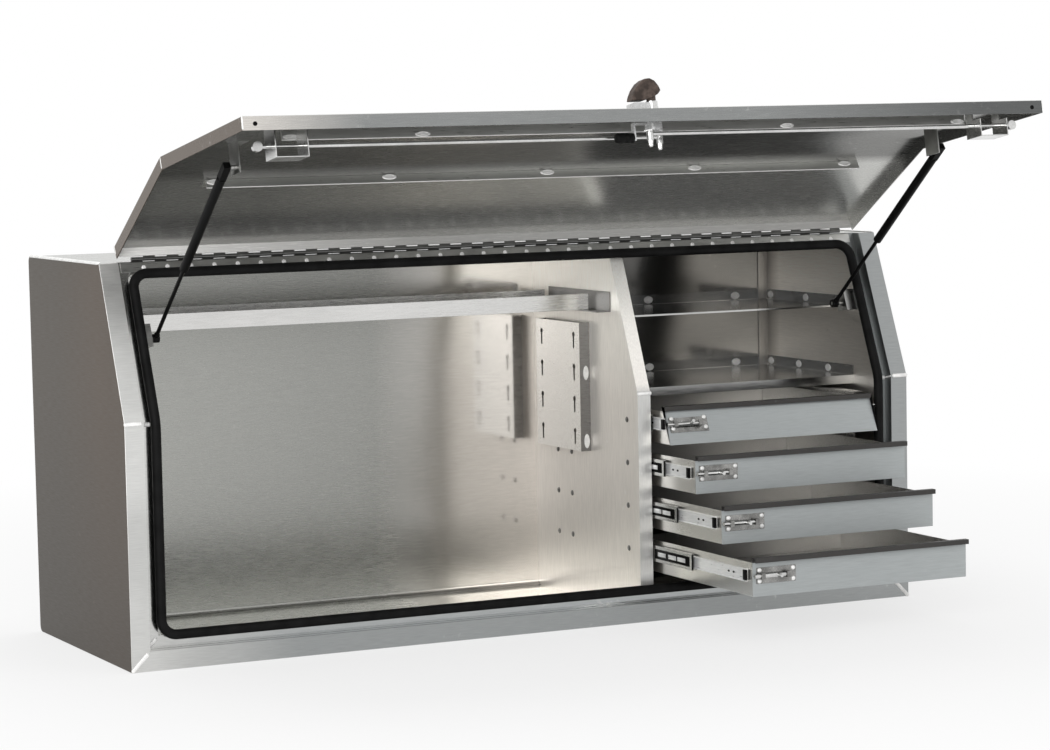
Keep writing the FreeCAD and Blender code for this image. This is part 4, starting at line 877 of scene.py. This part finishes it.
class TOOLBOX_OT_finishes(bpy.types.Operator):
    """Makes the sheet, steel, rubber and paint finishes"""
    bl_idname = "toolbox.finishes"
    bl_label = "Make finishes"

    def execute(self, context):
        c = context.scene.toolbox_colours
        groups.update(grain=make_grain_group(), tone=make_tone_group(), mark=make_mark_group())
        metal("end_sheet", c.end_painted_shade_warm, (0.92, 1.06), 0.42, grain=(600, 30, 500), clouds=(2, 3, 1.2),
              light_and_shade=end_shade_paint, marks=0.35)
        metal("wall_sheet", c.wall_grey, (0.94, 1.05), 0.26, clouds=(1.2, 1, 0.8), light_and_shade=wall_light_paint,
              polish=wall_polish, metallic=0.85, bump=0.03)
        metal("frame_sheet", c.frame_painted_light, (0.9, 1.05), 0.36, clouds=(5, 2, 5), contrast=0.12, marks=0.5,
              light_and_shade=frame_light_paint, polish=frame_polish, bump=0.03)
        metal("lid_sheet", c.lid_grey, (0.9, 1.08), 0.24, clouds=(1.6, 3, 3), light_and_shade=lid_light_paint,
              metallic=0.8, bump=0.03, dull=lid_hem)
        metal("rib_sheet", c.rib_grey, (0.85, 1.1), 0.3, clouds=(2, 4, 4), light_and_shade=rib_highlight_paint, dull=rib_edge)
        metal("shelf_sheet", c.shelf_bright, (0.88, 1), 0.26, clouds=3)
        metal("channel_sheet", c.channel_bright, (0.92, 1), 0.28, clouds=3, light_and_shade=channel_shade_paint)
        metal("hanger_sheet", c.hanger_grey, (0.8, 1.2), 0.3, clouds=5)
        metal("divider_sheet", c.divider_warm, (0.92, 1.08), 0.34, grain=(500, 500, 30), clouds=(2, 2, 1.2),
              marks=0.4, metallic=0.6, bump=0.03, light_and_shade=divider_light_paint)
        metal("deck_sheet", c.deck_grey, (0.85, 1.15), 0.18, clouds=3, light_and_shade=deck_shade_paint)
        metal("bay_sheet", c.bay_grey, (0.9, 1.1), 0.26, metallic=0.7)
        metal("front_sheet", c.front_blue, (0.96, 1.04), 0.5, light_and_shade=front_shade_paint, marks=0.12, metallic=0.45)
        metal("tray_sheet", c.tray_pale, (0.95, 1.15), 0.28, grain=1500, marks=0.06, light_and_shade=tray_shade_paint,
              bump=0.004)
        metal("bright_steel", c.steel_bright, (0.8, 1), 0.2, grain=300, clouds=20, marks=0.2)
        metal("lock_zinc", c.zinc_white, (0.6, 0.8), 0.25, grain=300, clouds=20, metallic=0.35)
        metal("hinge_steel", c.hinge_grey, (0.8, 1.2), 0.3, clouds=(8, 20, 20), light_and_shade=knuckle_shade_paint)
        metal("zinc_plate", c.zinc_white, (0.92, 1), 0.3, grain=(300, 40, 300), clouds=(9, 3, 9),
              metallic=0.45)
        metal("slide_steel", c.slide_grey, (0.95, 1.15), 0.24, grain=1500, clouds=(3, 4, 6), marks=0.08,
              metallic=0.9, bump=0.004)
        metal("latch_steel", c.latch_grey, (0.7, 1.3), 0.24, grain=300, clouds=40)
        metal("weld_metal", c.weld_pale_and_rib_highlight, (0.8, 1), 0.4, grain=900, clouds=60, bump=0.2, metallic=0.2)
        metal("seal_rubber", c.rubber_black, (0.8, 1.5), 0.5, grain=80, clouds=30, marks=0.03, metallic=0.0,
              bump=0.2, shine=0.06)
        metal("strut_paint", c.strut_black, (0.8, 1.5), 0.36, grain=200, clouds=20, marks=0.03,
              metallic=0.0, shine=0.06)
        metal("handle_paint", c.handle_brown, (0.6, 1.5), 0.6, grain=500, clouds=60, contrast=0.1,
              marks=0.3, metallic=0.0, bump=0.4, shine=0.2)
        return {"FINISHED"}


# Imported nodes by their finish: rounded sheets, nodes kept as they are, rounded fittings

def of_drawers(piece):
    return tuple(f"drawer_{name}_{piece}" for name in DRAWERS)


SHEETS = {
    "end_sheet": ("left_end_panel", "right_end_panel"),
    "wall_sheet": ("wrapper_sheet",),
    "frame_sheet": ("left_post", "right_post", "sill_rail", "hinge_header"),
    "lid_sheet": ("lid_pan",),
    "rib_sheet": ("lid_lower_rib", "lid_upper_rib"),
    "shelf_sheet": ("tool_shelf",),
    "hanger_sheet": ("shelf_hangers",),
    "channel_sheet": ("keyhole_channel",),
    "divider_sheet": ("divider",),
    "deck_sheet": ("upper_shelf", "drawer_deck"),
    "bay_sheet": ("drawer_side_panel",),
    "front_sheet": of_drawers("front"),
    "tray_sheet": of_drawers("tray"),
}
KEPT = {
    "hinge_steel": ("hinge_body_leaf", "hinge_lid_leaf", "hinge_pin"),
    "seal_rubber": ("bulb_seal",),
    "zinc_plate": ("cabinet_slides",),
}
FITTINGS = {
    "hinge_steel": ("strut_body_brackets", "strut_lid_brackets"),
    "lock_zinc": ("lock_body",),
    "bright_steel": ("lock_cam", "left_lock_rod", "right_lock_rod", "rod_guides") + of_drawers("bolt"),
    "latch_steel": of_drawers("latch"),
    "zinc_plate": of_drawers("inner_slides"),
    "slide_steel": of_drawers("middle_slides"),
    "strut_paint": ("left_strut_tube", "right_strut_tube", "left_strut_rod", "right_strut_rod"),
}


def round_all(table, width):
    """Rounds the nodes of a table and gives them their finish."""
    for finish, members in table.items():
        for node in members:
            carry(rounded(node, width), body_of[node], finish, slot_of[node], node)


class TOOLBOX_OT_sheets(bpy.types.Operator):
    """Rounds the cut edges of the folded sheets and gives them their finish"""
    bl_idname = "toolbox.sheets"
    bl_label = "Finish sheets"

    def execute(self, context):
        round_all(SHEETS, context.scene.toolbox_sizes.edge_round)
        for finish, members in KEPT.items():
            for node in members:
                dress(nodes[node], finish)
        return {"FINISHED"}


class TOOLBOX_OT_fittings(bpy.types.Operator):
    """Rounds the small steel fittings, the slides, the struts and the handle"""
    bl_idname = "toolbox.fittings"
    bl_label = "Finish fittings"

    def execute(self, context):
        size = context.scene.toolbox_sizes
        round_all(FITTINGS, size.fitting_round)
        paddle = rounded("lock_handle", size.paddle_round, segments=4, angle=20)
        carry(paddle, "lock", "handle_paint", slot_of["lock_handle"], "lock_handle")
        return {"FINISHED"}


def frame_beads(size):
    """Weld runs of the frame, the ends and the divider."""
    runs = []
    ground = []
    floor = FRONT + GUTTER
    inner = HALF - FACE
    start = HALF - MITRE_OUTER
    end = inner + MITRE_INNER
    seam = HALF - SEAM_OUTER
    seam_front = FRONT + SLOPE_RUN + SEAM_FRONT
    near = inner - LEDGE_OUTER
    ledge = LEDGE - LEDGE_INNER
    far = inner - ledge
    bend = Vector((0, -1, 0.2))
    for _, side in SIDES:
        x = side * inner
        corner = Vector((-side, 0, 1))
        over = Vector((side * 0.5, 0, 1))
        runs.append(((side * start, FRONT, MITRE_OUTER), (side * end, FRONT, HALF - end), AHEAD))
        runs.append(((side * near, floor, FACE + LEDGE_OUTER), (side * far, floor, FACE + ledge), AHEAD))
        ground.append(((x, FRONT + GROUND_OUTER, FACE), (x, floor, FACE), corner))
        runs.append((knee(side * (HALF - KNEE_OUTER), 0), knee(side * end, 0), bend))
        runs.append((knee(side * near, GUTTER), knee(side * far, GUTTER), bend))
        ground.append((knee(x, GROUND_OUTER), knee(x, GUTTER), Vector((-side, 0, 0))))
        runs.append(((side * seam, seam_front, HEIGHT), (side * seam, BACK - SEAM_BACK, HEIGHT), over))
    left = DIVIDER - WALL - DIVIDER_FLANGE + FLANGE_LEFT
    right = DIVIDER - FLANGE_RIGHT
    ends = ((Vector((0, FRONT + FLANGE_INSET, FLANGE_FOOT)), AHEAD), (knee(0, FLANGE_INSET), AHEAD),
            (slant(0, FLANGE_TOP, FLANGE_INSET), SLOPE_OUT))
    for at, lean in ends:
        runs.append(((left, at.y, at.z), (right, at.y, at.z), lean))
    return ([bead(*run, size.bead_width, size.bead_height) for run in runs]
            + [bead(*run, size.gap_width, size.gap_height) for run in ground])


def lid_beads(size):
    """Weld runs of the lid's corners, in the lid's shut place."""
    runs = []
    edge = LID_EDGE - size.gap_width
    for _, side in SIDES:
        x = side * LID_HALF
        out = Vector((side, 0, 0))
        foot = Vector((side, 0, -1))
        runs.append(((x, FRONT + LID_SKIN, LID_FOOT), (x, FRONT + edge, LID_FOOT), foot))
        runs.append((knee(x, LID_SKIN), knee(x, edge), out))
        runs.append((slant(x, -LID_TOP, LID_SKIN), slant(x, -LID_TOP, LID_EDGE / 2), out))
    return [bead(*run, size.gap_width, size.gap_height) for run in runs]


class TOOLBOX_OT_welds(bpy.types.Operator):
    """Lays the weld beads and plug welds"""
    bl_idname = "toolbox.welds"
    bl_label = "Weld"

    def execute(self, context):
        size = context.scene.toolbox_sizes
        runs = frame_beads(size)
        for z in CHANNEL_WELDS:
            place = facing((CHANNEL_WELD_X, CHANNEL_WELD_Y, z), AHEAD, (0, 0, 1))
            runs.append(plug(place, size.plug_length, share=0.42, height=size.bead_height))
        carry(join(runs, "frame_welds"), "carcass", "weld_metal", "frame_sheet")
        runs = lid_beads(size)
        for x in UPPER_TACKS:
            place = facing(slant(x, UPPER_RIB, UPPER_TACK_DEPTH), SLOPE_DOWN)
            runs.append(plug(place, size.plug_length, share=0.38, height=size.patch_height))
        for x in LOWER_TACKS:
            place = facing((x, FRONT + LOWER_TACK_DEPTH, LOWER_RIB), (0, 0, -1))
            runs.append(plug(place, size.plug_length, share=0.32, height=size.patch_height))
        welds = settle(join(runs, "lid_welds"), "lid_welds", TO_LID)
        carry(welds, "lid", "weld_metal", "lid_sheet")
        return {"FINISHED"}


def islands(node):
    """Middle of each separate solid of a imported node."""
    mesh = nodes[node].data
    root = {}

    def top(key):
        while root[key] != key:
            root[key] = root[root[key]]
            key = root[key]
        return key

    keys = [tuple(round(v, 5) for v in vertex.co) for vertex in mesh.vertices]
    for key in keys:
        root.setdefault(key, key)
    for face in mesh.polygons:
        first = top(keys[face.vertices[0]])
        for index in face.vertices[1:]:
            root[top(keys[index])] = first
    found = {}
    for key in root:
        found.setdefault(top(key), []).append(Vector(key))
    if not found:
        raise RuntimeError(f"{node} has no solids to work on")
    return [sum(points, Vector()) / len(points) for points in found.values()]


class TOOLBOX_OT_rivets(bpy.types.Operator):
    """Sets pop rivets along the hinge, plug welds on the short shelves and screws on the divider"""
    bl_idname = "toolbox.rivets"
    bl_label = "Rivet"

    def execute(self, context):
        size = context.scene.toolbox_sizes
        small = []
        wide = []
        for middle in islands("rivets"):
            if middle.y > BACK - NEAR_WALL:
                wide.append(sunk(middle, AHEAD))
            elif middle.x > HALF - NEAR_WALL:
                wide.append(sunk(middle, LEFTWARD, (0, 1, 0)))
            else:
                small.append(sunk(middle, SLOPE_OUT))
        head = turned_head(size.rivet_radius, size.rivet_sides, RIVET)
        pins = copies(head, "hinge_rivet_heads", small)
        tall = size.patch_height * 0.8
        rings = [plug(place, size.ring_length, share=0.72, height=tall) for place in wide]
        carry(pins, "carcass", "weld_metal", "hinge_steel", "rivets")
        carry(join(rings, "shelf_plug_welds"), "carcass", "weld_metal", "hinge_steel", "rivets")
        head = turned_head(size.screw_radius, sides=12, profile=SCREW)
        screws = copies(head, "screw_heads", [sunk(at, LEFTWARD) for at in islands("slide_screws")])
        carry(screws, "carcass", "hanger_sheet", "hinge_steel", "slide_screws")
        return {"FINISHED"}


def slide_block(wall, inward, y, z, shape):
    """A block of the given shape on one slide."""
    depths, run, tall, round_by = shape
    near, far = sorted(wall + inward * depth for depth in depths)
    return block((near, y + run[0], z - tall), (far, y + run[1], z + tall), round_by)


def slot_mark(at, outward):
    """The dark mouth of a punched slot."""
    clear_selection()
    bpy.ops.mesh.primitive_cylinder_add(vertices=12, radius=0.0022, depth=0.0004)
    mouth = bpy.context.object
    mouth.scale = (2.0, 1.0, 1.0)
    bpy.ops.object.transform_apply()
    select_faces(mouth, lambda face: face.normal.z > 0.9)
    bpy.ops.mesh.inset(thickness=0.0006, depth=-0.00015)
    enter("OBJECT")
    return settle(mouth, "slot", facing(at, outward, (0, 1, 0)))


class TOOLBOX_OT_slide_ends(bpy.types.Operator):
    """Adds the bumpers, stops, slots, tracks and ball cages of the drawer slides"""
    bl_idname = "toolbox.slide_ends"
    bl_label = "Add slide ends"

    def execute(self, context):
        walls = ((DIVIDER, 1), (DIVIDER + SLIDE_GAP * 2 + DRAWER_WIDTH, -1))
        for name, z in LEVELS.items():
            drawer = f"drawer_{name}"
            runners = f"drawer_{name}_runners"
            half_y = SLIDE_START - DRAWN[name] / 2
            out_y = SLIDE_START - DRAWN[name]
            rows = (("bumpers", BUMPERS, half_y, runners, "seal_rubber", "seal_rubber"),
                    ("stops", STOPS, out_y, drawer, "strut_paint", "strut_black"),
                    ("tracks", TRACKS, half_y, runners, "strut_paint", "strut_black"),
                    ("cages", CAGES, half_y, runners, "zinc_plate", slot_of[f"{drawer}_middle_slides"]))
            for label, shapes, y, body, finish, slot in rows:
                blocks = [slide_block(*wall, y, z, shape) for wall in walls for shape in shapes]
                carry(join(blocks, f"{drawer}_{label}"), body, finish, slot)
            slots = [slot_mark((wall + inward * SLOT_FACE, out_y + y, z), (-inward, 0, 0))
                     for wall, inward in walls for y in SLOT_PLACES]
            carry(join(slots, f"{drawer}_slots"), drawer, "strut_paint", "strut_black")
        return {"FINISHED"}


class TOOLBOX_OT_latch_screws(bpy.types.Operator):
    """Sets a domed screw in each corner of the drawer bolts' plates"""
    bl_idname = "toolbox.latch_screws"
    bl_label = "Screw latches"

    def execute(self, context):
        size = context.scene.toolbox_sizes
        for name, level in LEVELS.items():
            lean = TOP_LEAN / FRONT_TALL if name == DRAWERS[0] else 0.0
            up = Vector((0, lean, 1)).normalized()
            out = Vector((0, -1, lean)).normalized()
            y = DRAWER_FRONT - DRAWN[name] + lean * FRONT_BELOW
            seat = Vector((0, y, level)) + out * LATCH_GAUGE
            places = []
            for x in (LATCH_INSET + LATCH_SCREW_X, LATCH_INSET + LATCH_LENGTH - LATCH_SCREW_X):
                for rise in (-1, 1):
                    at = seat + up * rise * (LATCH_HEIGHT / 2 - LATCH_SCREW_Z)
                    at.x = DIVIDER + SLIDE_GAP + x
                    places.append(facing(at, out))
            head = turned_head(size.rivet_radius, sides=14, profile=DOME)
            domes = copies(head, f"drawer_{name}_latch_screws", places)
            carry(domes, f"drawer_{name}", "weld_metal", slot_of[f"drawer_{name}_latch"])
        return {"FINISHED"}


class TOOLBOX_OT_lock_trim(bpy.types.Operator):
    """Adds the knob's grip, the rods' dome nuts, the handle's collar and the lid's drain plugs"""
    bl_idname = "toolbox.lock_trim"
    bl_label = "Trim lock"

    def execute(self, context):
        place = TO_LID @ facing((KNOB_X, KNOB_Y, LOCK_Z), LEFTWARD)
        grip = settle(turned_head(radius=0.0094, sides=20, profile=GRIP), "knob_grip", place)
        carry(grip, "lid", "seal_rubber", "seal_rubber")
        for name, side in SIDES:
            place = TO_LID @ facing((-side * CAM_ARM, NUT_Y, LOCK_Z - side * CAM_ARM), (0, 1, 0))
            nut = settle(turned_head(radius=0.0058, sides=6, profile=NUT), f"{name}_dome_nut", place)
            carry(nut, f"{name}_rod", "bright_steel", "fitting_steel")
        place = TO_LID @ facing((0, COLLAR_Y, LOCK_Z), AHEAD)
        collar = settle(turned_head(radius=0.0125, sides=20, profile=COLLAR), "handle_collar", place)
        carry(collar, "lock", "bright_steel", "fitting_steel")
        places = [facing((side * DRAIN_X, DRAIN_Y, LID_FOOT), (0, 0, -1)) for _, side in SIDES]
        plugs = copies(turned_head(radius=0.0042, sides=14, profile=RING), "drain_plugs", places)
        carry(settle(plugs, "drain_plugs", TO_LID), "lid", "strut_paint", "seal_rubber")
        return {"FINISHED"}


class TOOLBOX_OT_stage(bpy.types.Operator):
    """Sets the floor, the soft lights, the white surround and the camera"""
    bl_idname = "toolbox.stage"
    bl_label = "Set stage"

    def execute(self, context):
        clear_selection()
        bpy.ops.mesh.primitive_plane_add(size=80, location=(0, 0, -0.001))
        floor = bpy.context.object
        floor.name = "floor"
        floor.data.materials.append(self.floor_material())
        self.surround(context.scene)
        self.lamp("key", at=(-3.4, -4.8, 2.2), size=3.6, power=190)
        self.lamp("fill", at=(3.6, -4.6, 2.4), size=3.0, power=40).visible_glossy = False
        self.lamp("top", at=(0.0, 0.6, 4.2), size=3.4, power=60)
        self.camera(context.scene)
        context.scene.view_settings.view_transform = "Standard"
        return {"FINISHED"}

    @staticmethod
    def seen_directly(tree):
        """1 where the camera sees a thing straight, in a reflection or through glass."""
        path = add_node(tree, "LightPath").outputs
        seen = sums(tree, "MAXIMUM", path["Is Camera Ray"], path["Is Glossy Ray"])
        return sums(tree, "MAXIMUM", seen, path["Is Transmission Ray"])

    def floor_material(self):
        material = bpy.data.materials.new("pale_floor")
        tree = empty_tree(material)
        where = add_node(tree, "TexCoord").outputs["Object"]
        grain = add_node(tree, "TexNoise", {"Vector": where, "Scale": 40.0}).outputs[0]
        tone = mixed(tree, grain, (0.84, 0.84, 0.84), (0.86, 0.86, 0.86))
        pale = add_node(tree, "BsdfDiffuse", {"Color": tone}).outputs[0]
        white = add_node(tree, "Emission", {"Color": WHITE, "Strength": 1.0}).outputs[0]
        fade = spread(tree, vectors(tree, "LENGTH", where)["Value"], *FLOOR_FADE)
        share = times(tree, self.seen_directly(tree), fade)
        mix = add_node(tree, "MixShader", {0: share, 1: pale, 2: white}).outputs[0]
        add_node(tree, "OutputMaterial", {"Surface": mix})
        return material

    def surround(self, scene):
        world = scene.world or bpy.data.worlds.new("surround")
        scene.world = world
        tree = empty_tree(world)
        soft = add_node(tree, "Background", {"Color": WHITE, "Strength": 0.62}).outputs[0]
        white = add_node(tree, "Background", {"Color": WHITE, "Strength": 1.0}).outputs[0]
        seen = self.seen_directly(tree)
        mix = add_node(tree, "MixShader", {0: seen, 1: soft, 2: white}).outputs[0]
        add_node(tree, "OutputWorld", {"Surface": mix})

    @staticmethod
    def lamp(name, at, size, power):
        lamp = bpy.data.lights.new(name, "AREA")
        lamp.size = size
        lamp.energy = power
        thing = bpy.data.objects.new(name, lamp)
        thing.location = at
        thing.rotation_euler = (LAMP_AIM - Vector(at)).to_track_quat("-Z", "Y").to_euler()
        bpy.context.scene.collection.objects.link(thing)
        return thing

    @staticmethod
    def camera(scene):
        lens = bpy.data.cameras.new("camera")
        lens.sensor_fit = "HORIZONTAL"
        lens.sensor_width = 36.0
        lens.lens = CAMERA_LENS
        lens.clip_end = 200
        camera = bpy.data.objects.new("camera", lens)
        ahead = Vector(CAMERA_AHEAD).normalized()
        across = ahead.cross(Vector(CAMERA_UP)).normalized()
        turn = Matrix((across, across.cross(ahead), -ahead)).transposed().to_4x4()
        camera.matrix_world = Matrix.Translation(CAMERA_AT) @ turn
        scene.collection.objects.link(camera)
        scene.camera = camera


class TOOLBOX_PT_panel(bpy.types.Panel):
    """Lists the toolbox's steps and settings"""
    bl_idname = "TOOLBOX_PT_panel"
    bl_label = "Truck Toolbox"
    bl_space_type = "VIEW_3D"
    bl_region_type = "UI"
    bl_category = "Toolbox"

    def draw(self, context):
        for step in STEPS:
            self.layout.operator(step.bl_idname)
        for group in (context.scene.toolbox_sizes, context.scene.toolbox_colours):
            for prop in group.bl_rna.properties:
                if prop.identifier not in ("rna_type", "name"):
                    self.layout.prop(group, prop.identifier)


STEPS = (TOOLBOX_OT_finishes, TOOLBOX_OT_sheets, TOOLBOX_OT_fittings, TOOLBOX_OT_welds, TOOLBOX_OT_rivets,
         TOOLBOX_OT_slide_ends, TOOLBOX_OT_latch_screws, TOOLBOX_OT_lock_trim, TOOLBOX_OT_stage)
CLASSES = (ToolboxSizes, ToolboxColours) + STEPS + (TOOLBOX_PT_panel,)


def register():
    for kind in CLASSES:
        bpy.utils.register_class(kind)
    bpy.types.Scene.toolbox_sizes = PointerProperty(type=ToolboxSizes)
    bpy.types.Scene.toolbox_colours = PointerProperty(type=ToolboxColours)


def unregister():
    del bpy.types.Scene.toolbox_colours
    del bpy.types.Scene.toolbox_sizes
    for kind in reversed(CLASSES):
        bpy.utils.unregister_class(kind)


def main():
    register()
    clear_selection()
    bpy.ops.toolbox.finishes()
    bpy.ops.toolbox.sheets()
    bpy.ops.toolbox.fittings()
    bpy.ops.toolbox.welds()
    bpy.ops.toolbox.rivets()
    bpy.ops.toolbox.slide_ends()
    bpy.ops.toolbox.latch_screws()
    bpy.ops.toolbox.lock_trim()
    bpy.ops.toolbox.stage()


if __name__ == "__main__":
    main()
